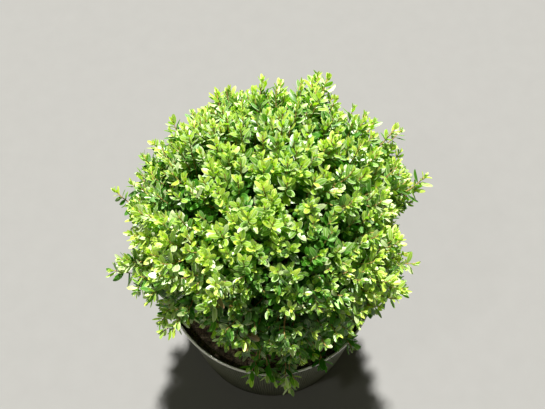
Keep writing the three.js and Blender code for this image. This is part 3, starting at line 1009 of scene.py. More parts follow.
@dataclass
class Compost:
    """The compost, with bark chips and fallen leaves on it."""

    pot: Pot
    blade: Blade
    below_rim: float = 18.0
    level_radius: float = 30.0
    shoulder_radius: float = 80.0
    shoulder_fall: float = 1.5
    wall_fall: float = 5.0
    gap: float = 0.3
    roughness: float = 1.1
    chips: int = 1300
    chip_reach: float = 134.0
    fallen: int = 90
    fallen_reach: float = 132.0
    rings: int = 58
    columns: int = 180
    seed: int = 31
    earth: CompostFinish = CompostFinish("compost_dark", (0.035, 0.027, 0.016), (0.30, 0.23, 0.145))
    chip_shares: tuple[tuple[CompostFinish, float], ...] = (
        (CompostFinish("chips_dark", (0.06, 0.04, 0.025), (0.30, 0.20, 0.125)), 0.7),
        (CompostFinish("chips_pale", (0.22, 0.16, 0.105), (0.56, 0.45, 0.32)), 0.3),
    )

    def top(self, radius: Array) -> Array:
        """Returns the height of the compost at a radius: level, then falling in two straight slopes."""
        top = self.pot.height - self.below_rim
        knots = [0, self.level_radius, self.shoulder_radius, self.pot.radius(top) - self.pot.wall]
        falls = [0, 0, self.shoulder_fall, self.wall_fall]
        return top - np.interp(radius, knots, falls)

    def body(self) -> Surface:
        """Makes the compost.

        Returns:
            Rings from the middle of the underside up the pot's wall and in over the top, where the height
            is the slope's plus the roughness times two ripples, which die out at the wall.
        """
        foot = self.pot.floor + self.gap
        edge_height = self.pot.height - self.below_rim - self.wall_fall
        edge = self.pot.radius(edge_height) - self.pot.wall - self.gap
        reach = self.pot.radius(foot) - self.pot.wall - self.gap
        over = np.linspace(edge - 1.5, 3, self.rings)
        radii = np.concatenate([[3.0, reach, (reach + edge) / 2, edge], over])
        side = [foot, foot, (foot + edge_height) / 2, edge_height - 1.5]
        heights = np.concatenate([side, self.top(over)])
        wide = np.repeat(radii[:, None], self.columns, 1)
        flat = rings(wide, round_angles(self.columns), 0.0)
        rough = ripple(flat, self.seed, 9.0, 24) + 0.8 * ripple(flat, self.seed + 1, 28.0)
        fade = np.clip((edge - wide) / 6, 0, 1) * (np.arange(len(radii)) >= len(side))[:, None]
        return lathed(wide, heights[:, None] + self.roughness * rough * fade, closed=False)

    def chip_surface(self, source: np.random.Generator, count: int) -> Surface:
        """Makes bark chips on the compost.

        Args:
            source: The source of chance.
            count: How many chips there are.

        Returns:
            Boxes with each corner moved at random, turned any way and tilted a little, half sunk in.
        """
        corner = np.array([[x, y, z] for z in (-1, 1) for y in (-1, 1) for x in (-1, 1)], float)
        size = np.stack([source.gamma(3.0, 1.1, count) + 1.4, source.uniform(0.6, 2.0, count),
                         source.uniform(0.3, 0.9, count)], -1)
        box = corner[None] * (1 + source.uniform(-0.35, 0.35, (count, 8, 3))) * size[:, None]
        turn = source.uniform(0, 2 * np.pi, count)
        tilt = source.normal(0, 0.25, count)
        heading = direction(np.degrees(turn), np.degrees(tilt))
        side = turned_about(square_to(heading), heading, source.normal(0, 0.3, count))
        way = np.stack([heading, side, np.cross(heading, side)], axis=1)
        radius = self.chip_reach * np.sqrt(source.uniform(0.01, 1, count))
        spot = radius[:, None] * direction(source.uniform(0, 360, count), 0.0)
        spot[:, 2] = self.top(radius) + size[:, 2] * 0.7 + 0.5
        points = box @ way + spot[:, None]
        shape = np.array([[0, 2, 3, 1], [4, 5, 7, 6], [0, 1, 5, 4], [2, 6, 7, 3], [0, 4, 6, 2], [1, 3, 7, 5]])
        faces = shape[None] + len(corner) * np.arange(count)[:, None, None]
        faces = np.where((np.linalg.det(way) > 0)[:, None, None], faces, faces[:, :, ::-1])
        return Surface(points.reshape(-1, 3), [faces.reshape(-1, 4)])

    def fallen_leaves(self, source: np.random.Generator) -> Leaves:
        """Returns dead leaves that lie on the compost any way round."""
        count = self.fallen
        radius = self.fallen_reach * np.sqrt(source.uniform(0.03, 1, count))
        root = radius[:, None] * direction(source.uniform(0, 360, count), 0.0)
        root[:, 2] = self.top(radius) + 2.4
        along = direction(source.uniform(0, 360, count), source.normal(0, 6, count))
        side = turned_about(square_to(along), along, source.normal(0, 0.35, count))
        facing = np.cross(side, along)
        facing = np.where(facing[:, 2:] < 0, -facing, facing)
        length = source.uniform(10, 17, count)
        kind = np.where(source.uniform(size=count) < 0.6, Leaf.BRONZE.value, Leaf.PALE.value)
        return Leaves(root, along, facing, length, length * source.uniform(0.42, 0.55, count),
                      source.normal(0.1, 0.4, count), source.normal(0.2, 0.3, count), kind,
                      source.integers(0, self.blade.tiles**2, count))

    def build(self) -> None:
        """Builds and dresses the compost and its chips."""
        source = np.random.default_rng(self.seed)
        piece("compost_body", self.body(), self.earth.material(), ["compost"])
        for finish, share in self.chip_shares:
            chips = self.chip_surface(source, int(self.chips * share))
            piece(finish.name, chips, finish.material(), smooth=False)


@dataclass(frozen=True)
class Tier:
    """A ring of boughs and the masses of foliage that they carry."""

    name: str
    count: int
    elevation: float
    turn: float
    starts: tuple[float, ...]
    base_radius: float
    tip_radius: float


@dataclass
class Limbs:
    """The short stem and the boughs that fan out from its fork."""

    compost: Compost
    stem_top: float = 276.0
    stem_radii: tuple[float, ...] = (17, 13, 12, 11, 10, 9)
    stem_lean: float = 3.0
    stem_rings: int = 44
    stem_columns: int = 56
    fork_height: float = 268.0
    reach: float = 62.0
    bend: float = 30.0
    bough_sides: int = 14
    bough_rings: int = 18
    bough_relief: float = 0.09
    tiers: tuple[Tier, ...] = (
        Tier("top", 1, 90, 0, (276.0,), 5.0, 3.6),
        Tier("upper", 5, 52, 90, (250.0,), 4.4, 3.2),
        Tier("lower", 7, 12, -90, (234.0, 224.0), 4.2, 3.0),
    )
    bark: BarkFinish = BarkFinish("bark_old", (0.30, 0.25, 0.15), (0.07, 0.055, 0.03), 260.0, 0.0016)

    def fork(self) -> Array:
        """Returns the fork's place."""
        return np.array([0.0, 0.0, self.fork_height])

    def names(self) -> list[str]:
        """Returns the name of each mass."""
        return [
            tier.name if tier.count == 1 else f"{tier.name}_{i + 1}"
            for tier in self.tiers for i in range(tier.count)
        ]

    def aims(self) -> Array:
        """Returns each mass's direction from the fork."""
        return np.concatenate([
            direction(tier.turn + 360 * np.arange(tier.count) / tier.count, float(tier.elevation))
            for tier in self.tiers
        ])

    def boughs(self) -> Stalks:
        """Returns the boughs, each up out of the stem and then over towards its mass."""
        aims, fork = self.aims(), self.fork()
        each = [(tier, i) for tier in self.tiers for i in range(tier.count)]
        start = np.array([[0, 0, tier.starts[i % len(tier.starts)]] for tier, i in each])
        base = np.array([tier.base_radius for tier, _ in each])
        tip = np.array([tier.tip_radius for tier, _ in each])
        return Stalks(start, fork + aims * (self.reach - self.bend), fork + aims * self.reach, base, tip)

    def stem(self) -> Surface:
        """Makes the stem.

        Returns:
            Rings whose radius follows the stem's radii and swells with fluting and rough bark, and whose
            middle leans by the sine of half a turn over its height.
        """
        foot = self.compost.top(np.array(0.0)) + self.compost.gap
        share = np.linspace(0, 1, self.stem_rings)
        angle = round_angles(self.stem_columns)
        radius = np.interp(share, np.linspace(0, 1, len(self.stem_radii)), self.stem_radii)[:, None]
        height = foot + (self.stem_top - foot) * share
        round_it = rings(radius, angle, 0.3 * height[:, None])
        rough = 0.05 * ripple(round_it, 5, 11.0, 16) + 0.035 * ripple(round_it, 6, 4.0, 16)
        rough += 0.05 * np.sin(5 * angle + 2 * share[:, None]) - 0.06
        made = lathed(radius * (1 + rough), height, closed=False)
        up = np.clip((made.points[:, 2] - foot) / (self.stem_top - foot), 0, 1)
        made.points[:, 0] += self.stem_lean * np.sin(np.pi * up)
        return made

    def build(self) -> None:
        """Builds and dresses the stem and the boughs."""
        material = self.bark.material()
        piece("stem_bark", self.stem(), material, ["stem"])
        boughs = self.boughs().surface(self.bough_sides, self.bough_rings, self.bough_relief, seed=8)
        piece("bough_bark", boughs, material, [f"bough_{name}" for name in self.names()])


@dataclass
class Crown:
    """The crown's round outline, fuller below its widest level."""

    centre_height: float = 386.0
    radius: float = 168.0
    half_height: float = 150.0
    power_above: float = 2.0
    power_below: float = 4.0

    def centre(self) -> Array:
        """Returns the crown's centre."""
        return np.array([0.0, 0.0, self.centre_height])

    def level(self, points: Array) -> Array:
        """Gives how far out points lie.

        Args:
            points: The points.

        Returns:
            0 at the centre and 1 on the leafy surface: the root of the sum of the powers of the radius and
            the rise, each as a share of the crown's own.
        """
        rise = points[..., 2] - self.centre_height
        power = np.where(rise > 0, self.power_above, self.power_below)
        out = np.hypot(points[..., 0], points[..., 1]) / self.radius
        return (out**power + (np.abs(rise) / self.half_height) ** power) ** (1 / power)

    def distance(self, start: Array, heading: Array, level: Array | float) -> Array:
        """Returns how far from a start along each heading a level lies, found by halving."""
        near = np.zeros(heading.shape[:-1])
        far = np.full(heading.shape[:-1], 2 * self.radius + self.half_height)
        for _ in range(26):
            middle = (near + far) / 2
            inside = self.level(start + heading * middle[..., None]) < level
            near, far = np.where(inside, middle, near), np.where(inside, far, middle)
        return near

    def outward(self, points: Array) -> Array:
        """Returns the direction straight out of the crown at points."""
        wide = points[..., :2] / self.radius**2
        rise = (points[..., 2:] - self.centre_height) / self.half_height**2
        return unit(np.concatenate([wide, rise], axis=-1))

    def spread(self, count: int, level: Array | float, source: np.random.Generator, jitter: float) -> Array:
        """Spreads points evenly over a level of the crown.

        Args:
            count: How many points.
            level: The level, or each point's level.
            source: The source of chance.
            jitter: How far a point may stray, in millimetres.

        Returns:
            Points turned on by the golden angle from one to the next, from the top down in equal falls.
        """
        rise = 1 - 2 * (np.arange(count) + 0.5) / count
        ring = np.sqrt(1 - rise**2)
        turn = np.arange(count) * GOLDEN_ANGLE
        heading = np.stack([ring * np.cos(turn), ring * np.sin(turn), rise], -1)
        heading = unit(heading + source.normal(0, jitter / self.radius, heading.shape))
        return self.centre() + heading * self.distance(self.centre(), heading, level)[:, None]


@dataclass(frozen=True)
class Order:
    """How one order of stalks grows on the order before it.

    Attributes:
        shares: The least and greatest share along the old stalk at which a new one starts.
        radii: A new stalk's radii at its base and at its tip.
        lift: How far it goes along the old stalk before it turns to its tip, as a share of its length.
    """

    shares: Range
    radii: Range
    lift: float = 0.4


@dataclass
class Growth:
    """The twigs and leaves that grow on from the boughs.

    Attributes:
        centre_share: Where a mass's centre lies between the fork and the crown's surface.
        other_mass: How much farther the end of another mass's stalk counts than it is.
        stand_out: How far the proudest shoots stand out of the crown.
        valley_heights: The height below which the borders between masses deepen, and where they are full.
        valley_least: How much of them there is above that.
        lowest: The height above which shoots grow.
        core_start: How far from the fork the leaves start.
        to_light: How much the shoots high in the crown turn to +X and +Y.
        light_heights: From where to where they come to turn so.
        small_heights: From where to where leaves get smaller.
        close_heights: From where down to where leaves come to lean out in full.
        left_x: From where to where across the plant its pale left begins, a paleness partly the leaves' own
            and partly a painted sheen of sunlit leaves, and left_y the same in depth.
        left_heights: The heights and amounts of that paleness.
        front_y: From where to where in depth its low front begins, and front_z the same in height.
        tip_margin: How far above the crown's underside a shoot's tip has to lie.
        shoot_margin: The same for long shoots, their mates and side shoots.
        pair_places: How far below the tip each pair of leaves stands.
        pair_lengths: How long the leaves of each pair are.
        pair_leans: How far they lean out from the shoot, in degrees.
        freshness: How new they are, from 1 down to 0.
        kind_limits: How high a leaf's freshness, with the painted light and shade of its tone and depth
            added, has to be for each kind after the first.
        skirt: How far out the crown's underside starts to rise, by azimuth.
        patches: The place and the amount of each patch that is lighter, as painted light, and prouder, or
            darker, as painted shade, and lower.
        hollows: The place and the depth of each notch in the crown.
        bronzed: The places with bronze leaves, each bronze_size wide to all sides.
        bronze_height: The height below which a few leaves anywhere are bronze.
        long_shoots: The azimuth, elevation and distance from the fork of each shoot that stands far out.
        hanging: The tips of the shoots that hang over the rim, and of four that stand out low at the left.
        hung_height: The least height that they are led over, to which hung_rise is added.
        hung_draw: How far out they are led over it, as a share of their tip's reach.
    """

    limbs: Limbs
    crown: Crown
    blade: Blade
    centre_share: float = 0.6
    branches: int = 150
    branch_level: float = 0.6
    branchlets: int = 450
    branchlet_level: float = 0.79
    shoots: int = 900
    shoot_mates: int = 3
    inner_shoots: int = 560
    inner_levels: Range = (0.78, 0.94)
    branch_growth: Order = Order((0.15, 1.0), (2.3, 1.5), 0.45)
    branchlet_growth: Order = Order((0.55, 1.0), (1.5, 1.05))
    shoot_growth: Order = Order((0.45, 1.0), (1.15, 0.55))
    inner_growth: Order = Order((0.2, 1.0), (1.1, 0.6))
    hung_growth: Order = Order((0.7, 1.0), (1.2, 0.6))
    other_mass: float = 60.0
    stand_out: float = 24.0
    tuft_height: float = 6.0
    tuft_width: float = 58.0
    valley_depth: float = 15.0
    valley_width: float = 15.0
    valley_heights: Range = (440.0, 360.0)
    valley_least: float = 0.15
    stem_bend: float = 25.0
    stem_stray: float = 5.0
    stem_taper: float = 0.62
    mate_depths: Range = (10.0, 26.0)
    mate_stray: float = 7.0
    lowest: float = 238.0
    core_start: float = 64.0
    inside_pot: float = 138.0
    outside_pot: float = 154.0
    above_compost: float = 223.5
    above_rim: float = 237.0
    beside_pot: float = 165.0
    to_light: Range = (0.08, 0.62)
    light_heights: Range = (360.0, 450.0)
    small_heights: Range = (450.0, 510.0)
    close_heights: Range = (505.0, 425.0)
    left_x: Range = (-30.0, -100.0)
    left_y: Range = (20.0, -40.0)
    left_heights: tuple[Range, ...] = ((360.0, 0.2), (420.0, 1.0), (490.0, 1.0), (530.0, 0.0))
    front_y: Range = (-10.0, -100.0)
    front_z: Range = (345.0, 265.0)
    tip_margin: float = 16.0
    shoot_margin: float = 10.0
    bronze_height: float = 330.0
    bronze_size: float = 12.0
    hung_height: float = 246.0
    hung_rise: float = 18.0
    hung_draw: float = 0.9
    hung_side_shares: Range = (0.4, 0.8)
    hung_side_lengths: Range = (14.0, 24.0)
    lateral_shares: Range = (0.25, 0.62)
    lateral_lengths: Range = (15.0, 30.0)
    lateral_level: float = 1.08
    pair_places: tuple[float, ...] = (0.5, 2, 4.6, 8.4, 13.5, 19.5, 26.5, 34.5, 43, 52, 62, 73, 85, 98)
    pair_lengths: tuple[float, ...] = (
        4.4, 7, 10.4, 13.4, 15.6, 17, 17.6, 17.8, 17.8, 17.4, 17, 16.6, 16, 15.5,
    )
    pair_leans: tuple[float, ...] = (9, 18, 28, 40, 51, 58, 63, 66, 68, 69, 70, 70, 70, 70)
    freshness: tuple[float, ...] = (1, 1, 0.94, 0.8, 0.66, 0.54, 0.46, 0.39, 0.34, 0.3, 0.26, 0.23, 0.2, 0.18)
    kind_limits: tuple[float, ...] = (0.08, 0.27, 0.46, 0.64, 0.86)
    skirt_height: float = 240.0
    skirt_slope: float = 4.3
    skirt: tuple[Range, ...] = (
        (-180, 190), (-165, 172), (-150, 150), (-141, 135), (-134, 126), (-128, 121), (-122, 118),
        (-117, 119), (-112, 126), (-105, 133), (-95, 139), (-84, 143), (-65, 143), (-48, 146), (-37, 152),
        (-20, 170), (0, 190), (180, 190),
    )
    patch_size: float = 27.0
    patch_lift: float = 60.0
    # Painted light and shade: each patch's amount lightens or darkens the leaves there, as well as moving the
    # tips.
    patches: tuple[Patch, ...] = (
        (-136, 13, 473, -0.18), (-84, -8, 516, -0.18), (-94, 53, 501, 0.10), (-120, -49, 481, 0.08),
        (-146, -53, 443, 0.2), (-96, -62, 496, 0.16), (-57, -83, 505, 0.14), (-20, -80, 516, 0.12),
        (11, -80, 516, 0.12), (-20, -26, 532, 0.12), (16, -49, 528, 0.06), (61, -28, 524, -0.10),
        (38, -76, 516, -0.22), (-9, -114, 496, -0.24), (-3, -135, 476, -0.28), (39, -110, 495, 0.18),
        (50, -129, 470, -0.16), (94, -94, 477, -0.20), (-92, -115, 456, -0.26), (-55, -116, 482, 0.18),
        (127, -64, 465, 0.22), (124, -107, 418, 0.08), (-142, -92, 412, -0.3), (-33, -148, 450, -0.08),
        (30, -156, 430, -0.16), (66, -142, 440, 0.06), (-70, -140, 420, -0.3), (134, -106, 345, -0.3),
        (4, -162, 420, -0.2), (70, -152, 378, -0.34), (100, -132, 411, -0.12), (110, -133, 335, -0.3),
        (69, 18, 522, 0.18), (-5, 14, 535, -0.08), (12, 95, 509, -0.16), (43, 100, 500, 0.18),
        (66, -116, 475, -0.14), (-78, 26, 517, 0.10), (36, -10, 531, 0.06), (76, -150, 300, -0.35),
        (40, -158, 300, -0.3), (88, -134, 262, -0.4), (45, -150, 255, -0.3), (-128, 92, 460, -0.08),
        (22, -164, 212, 0.25),
    )
    hollows: tuple[Patch, ...] = (
        (162, -12, 402, 40), (154, -38, 446, 20), (154, -78, 345, 17), (128, -114, 325, 17),
        (102, -142, 315, 13), (172, -4, 345, 18), (170, -86, 390, 8), (-160, -50, 420, 22),
        (-158, 50, 452, 14), (-176, -28, 385, 14), (-168, -68, 370, 10),
    )
    bronzed: tuple[Triple, ...] = (
        (-97, -112, 446), (-52, -123, 469), (-26, -147, 405), (40, -143, 446),
    )
    long_shoots: tuple[Triple, ...] = (
        (92, 53, 262), (65, 51, 276), (70, 47, 268), (113, 52, 256), (30, 46, 266), (12, 42, 257),
        (-18, 36, 226), (-29, 34, 220), (155, 47, 245), (171, 42, 251), (-162, 35, 241), (-135, 30, 222),
        (-58, 10, 178), (-46, -2, 178), (-12, 6, 182), (45, 14, 190), (90, 18, 192), (135, 14, 190),
        (180, 10, 184), (0, 86, 288), (150, 80, 282), (-90, 78, 280),
    )
    hanging: tuple[Triple, ...] = (
        (25, -166, 206), (18, -160, 226), (-29, -158, 246), (-6, -156, 236), (68, -146, 268),
        (106, -122, 262), (-144, -92, 395), (-161, -80, 390), (-113, -136, 402), (-128, -124, 398),
    )
    seed: int = 12

    def __post_init__(self) -> None:
        """Works out the masses' directions and centres."""
        self.source = np.random.default_rng(self.seed)
        self.aims = self.limbs.aims()
        fork = self.limbs.fork()
        reach = self.crown.distance(fork, self.aims, 1.0)
        self.centres = fork + self.aims * (self.centre_share * reach)[:, None]

    def mass_of(self, points: Array) -> Array:
        """Returns the mass whose direction from the fork is nearest to each point's."""
        return (unit(points - self.limbs.fork()) @ self.aims.T).argmax(-1)

    def valley(self, points: Array) -> Array:
        """Gives how near points lie to a border between two masses.

        Args:
            points: The points.

        Returns:
            1 on the border, falling to 0 as the bell curve of the distance from the plane that parts the
            two nearest masses' directions.
        """
        near = (points - self.limbs.fork()) @ self.aims.T
        two = np.argsort(-near, axis=-1)[:, :2]
        ahead = np.take_along_axis(near, two, -1)
        apart = np.linalg.norm(self.aims[two[:, 0]] - self.aims[two[:, 1]], axis=-1)
        return np.exp(-(((ahead[:, 0] - ahead[:, 1]) / apart / self.valley_width) ** 2))

    def nearest(self, points: Array, ends: Array) -> Array:
        """Finds the stalk that each point grows from, one of its own mass wherever one is near.

        Args:
            points: The new tips.
            ends: The tips of the stalks before them.

        Returns:
            The number of the nearest end, where an end in another mass counts as farther away than it is.
        """
        apart = np.linalg.norm(points[:, None] - ends[None], axis=-1)
        apart += self.other_mass * (self.mass_of(points)[:, None] != self.mass_of(ends)[None])
        return apart.argmin(-1)

    def stem_twigs(self) -> Stalks:
        """Returns the short stem of each mass, from its bough's tip to the mass's centre."""
        boughs = self.limbs.boughs()
        start = boughs.tip
        bend = start + self.aims * self.stem_bend
        tip = self.centres + self.source.normal(0, self.stem_stray, self.centres.shape)
        return Stalks(start, bend, tip, boughs.tip_radius, boughs.tip_radius * self.stem_taper)

    def sites(self, count: int, level: float, jitter: float, lowest: float) -> Array:
        """Returns points spread over a level of the crown, where there is room for them above a height."""
        points = self.crown.spread(count, level, self.source, jitter)
        return points[self.has_room(points) & (points[:, 2] > lowest)]

    def grown_on(self, before: Stalks, tips: Array, order: Order) -> Stalks:
        """Grows the next order of stalks.

        Args:
            before: The stalks that they grow from.
            tips: Where the new stalks end.
            order: How they grow.

        Returns:
            The new stalks, each of which sets out between the old stalk's direction and its own.
        """
        old = before.picked(self.nearest(tips, before.tip))
        share = self.source.uniform(*order.shares, len(tips))
        start = old.at(share)
        length = np.linalg.norm(tips - start, axis=-1, keepdims=True)
        bend = start + unit(old.heading(share) + unit(tips - start) * 0.8) * length * order.lift
        thick = self.source.uniform(0.85, 1.15, len(tips))
        return Stalks(start, bend, tips, order.radii[0] * thick, order.radii[1] * thick)

    def shoot_tips(self) -> tuple[Array, Array, Array]:
        """Gives the tips of the outer shoots.

        Returns:
            The tips, how large each shoot's leaves are, and how far up each turns. The tips lie round the
            crown's surface, prouder in tufts and patches and lower in the hollows and on the borders between
            masses, and each long shoot has a few mates a little lower.
        """
        source, crown = self.source, self.crown
        tips = crown.spread(self.shoots, 1.0, source, 6.0)
        tuft = ripple(tips, 77, self.tuft_width, 14)
        proud = self.stand_out * source.uniform(0, 1, len(tips)) ** 1.6 + self.tuft_height * (tuft - 0.5)
        deep = np.maximum(ramp(tips[:, 2], *self.valley_heights), self.valley_least)
        proud -= self.valley_depth * self.valley(tips) * deep
        proud += self.patch_lift * self.bells(tips, self.patches) - self.bells(tips, self.hollows)
        tips = tips + crown.outward(tips) * proud[:, None]
        grows = source.uniform(size=len(tips)) > 0.45 * self.low_front(tips)
        tips = tips[(tips[:, 2] > self.lowest) & self.above_skirt(tips, self.tip_margin) & grows]
        long = self.limbs.fork() + np.array([direction(a, e) * d for a, e, d in self.long_shoots])
        mates = []
        for _ in range(self.shoot_mates):
            away = crown.outward(long) * -source.uniform(*self.mate_depths, (len(long), 1))
            mates.append(long + away + source.normal(0, self.mate_stray, long.shape))
        tips = np.concatenate([tips, long, *mates])
        vigour = source.uniform(0.84, 1.12, len(tips)) - 0.1 * ramp(tips[:, 2], *self.small_heights)
        vigour += 0.17 * self.bright_left(tips)
        lifts = 0.4 + 0.6 * np.clip((tips[:, 2] - 300) / 130, -0.8, 1.0)
        lifts[-(1 + self.shoot_mates) * len(long):] += 0.3
        grows = self.above_skirt(tips, self.shoot_margin)
        return tips[grows], vigour[grows], lifts[grows]

    def tipped(self, stalks: Stalks, lifts: Array, stray: float) -> Stalks:
        """Turns the ends of shoots outwards, up and, high in the crown, towards the light.

        Args:
            stalks: The shoots.
            lifts: How much of up is added to the way out.
            stray: How much of chance is added.

        Returns:
            The shoots with each bend moved back from its tip along its new heading.
        """
        way = self.crown.outward(stalks.tip) + self.source.normal(0, stray, stalks.tip.shape)
        high = ramp(stalks.tip[:, 2:], *self.light_heights)
        way = way + np.array([0, 0, 1.0]) * lifts[:, None] + np.array([*self.to_light, 0]) * high
        way = unit(way + 0.35 * unit(stalks.tip - stalks.start))
        length = np.linalg.norm(stalks.tip - stalks.start, axis=-1, keepdims=True)
        bend = stalks.tip - way * length * 0.5
        return Stalks(stalks.start, bend, stalks.tip, stalks.base_radius, stalks.tip_radius)

    def leafed(self, stalks: Stalks, sizes: Array | Range, first: int, bare: float,
               shift: Array | float = 0.0) -> Leaves:
        """Puts crossed pairs of leaves on shoots.

        Args:
            stalks: The shoots.
            sizes: How large each shoot's leaves are, or the least and greatest of a random size.
            first: The first pair below the tip that grows, 0 for a shoot with new leaves at its tip.
            bare: The length at each shoot's base that has no leaves.
            shift: How much lighter or darker the leaves are than their place makes them, as painted light
                where it is above 0 and painted shade where it is below.

        Returns:
            Two leaves for each pair and shoot, each leaning out from the shoot by the pair's angle, with
            each pair a quarter turn on from the last. The leaves lie closer to a shoot high in the crown. A
            pair that the shoot is too short for is left out.
        """
        source = self.source
        vigour = source.uniform(*sizes, stalks.count()) if isinstance(sizes, tuple) else sizes
        tone = self.tone_at(stalks.tip) + shift
        pairs = np.arange(first, len(self.pair_places))
        apart = vigour[:, None] * source.uniform(0.92, 1.08, (stalks.count(), 1))
        places = np.array(self.pair_places)[pairs] * apart
        length = stalks.lengths()
        share = 1 - places / length[:, None]
        fits = places < (length - bare)[:, None]
        share = np.clip(share, 0, 1)
        root, axis = stalks.at(share), stalks.heading(share)
        turn = source.uniform(0, np.pi, (stalks.count(), 1)) + np.pi / 2 * pairs
        turn = turn + source.normal(0, 0.16, share.shape)
        stray = source.normal(0, 7, (*share.shape, 2)).transpose(2, 0, 1)
        lean = np.radians(np.array(self.pair_leans)[pairs] + stray)
        side = turned_about(square_to(axis), axis, turn)
        opened = 0.7 + 0.36 * ramp(stalks.tip[:, 2], *self.close_heights)
        opened = opened + source.normal(0, 0.08, stalks.count())
        parts = []
        for hand, angle in zip((1, -1), lean * opened[:, None]):
            along = unit(axis * np.cos(angle)[..., None] + hand * side * np.sin(angle)[..., None])
            parts.append(self.blades(root, axis, along, pairs, vigour, tone, fits))
        return Leaves.joined(parts)

    def blades(self, root: Array, axis: Array, along: Array, pairs: Array, vigour: Array, tone: Array,
               fits: Array) -> Leaves:
        """Makes one side's leaves of every pair.

        Args:
            root: Where each leaf starts.
            axis: The shoot's direction there.
            along: Each leaf's direction.
            pairs: The number of each pair below the tip.
            vigour: How large each shoot's leaves are.
            tone: How much lighter or darker each shoot's leaves are, mostly as painted light and shade.
            fits: True where the shoot is long enough for the pair.

        Returns:
            Leaves that face the shoot's tip, turned a little towards the light, of a kind that follows their
            age and their shoot's tone, and that is darker deeper in the crown as painted shade.
        """
        source = self.source
        shape = fits.shape
        light = self.crown.outward(root) * 0.5 + np.array([0, 0, 0.75])
        facing = axis + 0.75 * light + source.normal(0, 0.5, axis.shape)
        facing = unit(facing - along * np.sum(facing * along, -1, keepdims=True))
        length = np.array(self.pair_lengths)[pairs] * vigour[:, None] * source.uniform(0.82, 1.14, shape)
        young = np.array(self.freshness)[pairs]
        width = length * (0.48 - 0.1 * young) * source.uniform(0.82, 1.15, shape)
        bend = 0.2 + 0.4 * (1 - young) + source.normal(0, 0.22, shape)
        fold = np.where(young > 0.9, -0.42, 0.3) + source.normal(0, 0.2, shape)
        depth = self.crown.level(root + along * length[..., None] * 0.5)
        # Painted shade: leaves deeper than 0.94 of the crown's level drop to darker kinds, and the shoot's
        # tone adds painted light and shade.
        fresh_and_lit = young + tone[:, None] + source.normal(0, 0.14, shape) - 1.9 * np.clip(0.94 - depth, 0, 0.4)
        kind = np.digitize(fresh_and_lit, self.kind_limits)
        tile = source.integers(0, self.blade.tiles**2, shape)
        made = [root, along, facing, length, width, bend, fold, kind, tile]
        return Leaves(*(x[fits] for x in made))

    def tinted(self, leaves: Leaves) -> Leaves:
        """Gives some leaves a pale or a bronze tint, the bronze ones where the plant has them and the pale
        ones more on the left, where their pale tint is partly the leaves' own and partly a painted sheen of
        sunlit leaves.
        """
        chance = self.source.uniform(size=leaves.count())
        place = leaves.root
        open_air = leaves.kind > Leaf.DEEP.value
        # Pale leaves: partly their own tint and partly a painted sheen, more of them on the left.
        pale = open_air & (leaves.kind < Leaf.NEW.value) & (chance < 0.1 + 0.3 * self.bright_left(place))
        near = np.linalg.norm(place[:, None] - np.array(self.bronzed, float), axis=-1).min(-1)
        bronze = (chance > 0.993) & (place[:, 2] < self.bronze_height)
        bronze |= (chance > 0.55) & (near < self.bronze_size)
        kind = np.where(pale, Leaf.PALE.value, leaves.kind)
        leaves.kind = np.where(bronze, Leaf.BRONZE.value, kind)
        return leaves

    def bright_left(self, points: Array) -> Array:
        """Returns 0 to 1, the most on the left of the crown's front, where broad leaves lie, and pale ones
        that are partly a paler tint of their own and partly a painted sheen of sunlit leaves.
        """
        band = np.interp(points[:, 2], *zip(*self.left_heights))
        return ramp(points[:, 0], *self.left_x) * ramp(points[:, 1], *self.left_y) * band

    def has_room(self, points: Array) -> Array:
        """Returns True where points keep clear of the pot, the compost, the stem and the fork."""
        out = np.hypot(points[..., 0], points[..., 1])
        over = [out < self.inside_pot, out < self.outside_pot]
        floor = np.select(over, [self.above_compost, self.above_rim], self.beside_pot)
        fork = np.linalg.norm(points - self.limbs.fork(), axis=-1)
        return (points[..., 2] > floor) & (fork > self.core_start)

    def above_skirt(self, points: Array, margin: float = 0.0) -> Array:
        """Gives where foliage grows.

        Args:
            points: The points.
            margin: How far above the underside the points have to lie.

        Returns:
            True above the crown's underside, which rises steeply outwards from the reach that it has over
            the rim, and draws in most at the front left, where the compost shows.
        """
        azimuth = np.degrees(np.arctan2(points[..., 1], points[..., 0]))
        reach = np.interp(azimuth, *zip(*self.skirt)) + 4 * ripple(points, 41, 36.0)
        out = np.hypot(points[..., 0], points[..., 1])
        return points[..., 2] > self.skirt_height + margin + self.skirt_slope * (out - reach)

    def kept(self, leaves: Leaves, skirted: bool) -> Leaves:
        """Leaves out what has no room.

        Args:
            leaves: The leaves.
            skirted: True where they also keep above the crown's underside.

        Returns:
            The leaves whose root, middle and tip all have room.
        """
        spots = [leaves.root + leaves.along * (leaves.length * share)[:, None] for share in (0.0, 0.5, 1.0)]
        room = np.all([self.has_room(spot) for spot in spots], axis=0)
        if skirted:
            room &= self.above_skirt(spots[1])
        return leaves.picked(room)

    def low_front(self, points: Array) -> Array:
        """Returns 0 to 1, the most low down in front, where the crown shades itself and thins out."""
        return ramp(points[:, 2], *self.front_z) * ramp(points[:, 1], *self.front_y)

    def tone_at(self, points: Array) -> Array:
        """Gives how much lighter or darker the shoots at points are.

        Args:
            points: The shoots' tips.

        Returns:
            Painted light and shade with a little of chance: lighter above as painted light, darker low in
            front and on the borders between masses as painted shade, and a soft round patch at each listed
            place, painted light where its amount is above 0 and painted shade where it is below.
        """
        # Painted light above and painted shade low in front and between masses; the listed patches add
        # painted light and shade.
        high = np.clip((points[:, 2] - 380) / 150, -1, 1)
        tone = 0.05 * high - 0.6 * self.low_front(points) + self.source.normal(0, 0.09, len(points))
        return tone - 0.08 * self.valley(points) + self.bells(points, self.patches)

    def bells(self, points: Array, listed: Sequence[Patch]) -> Array:
        """Gives how much the listed patches add at points.

        Args:
            points: The points.
            listed: The place and the amount of each patch.

        Returns:
            The sum of each patch's amount times the bell curve of the distance from its place.
        """
        total = np.zeros(len(points))
        for x, y, z, amount in listed:
            near = np.sum((points - [x, y, z]) ** 2, axis=-1) / (2 * self.patch_size**2)
            total += amount * np.exp(-near)
        return total

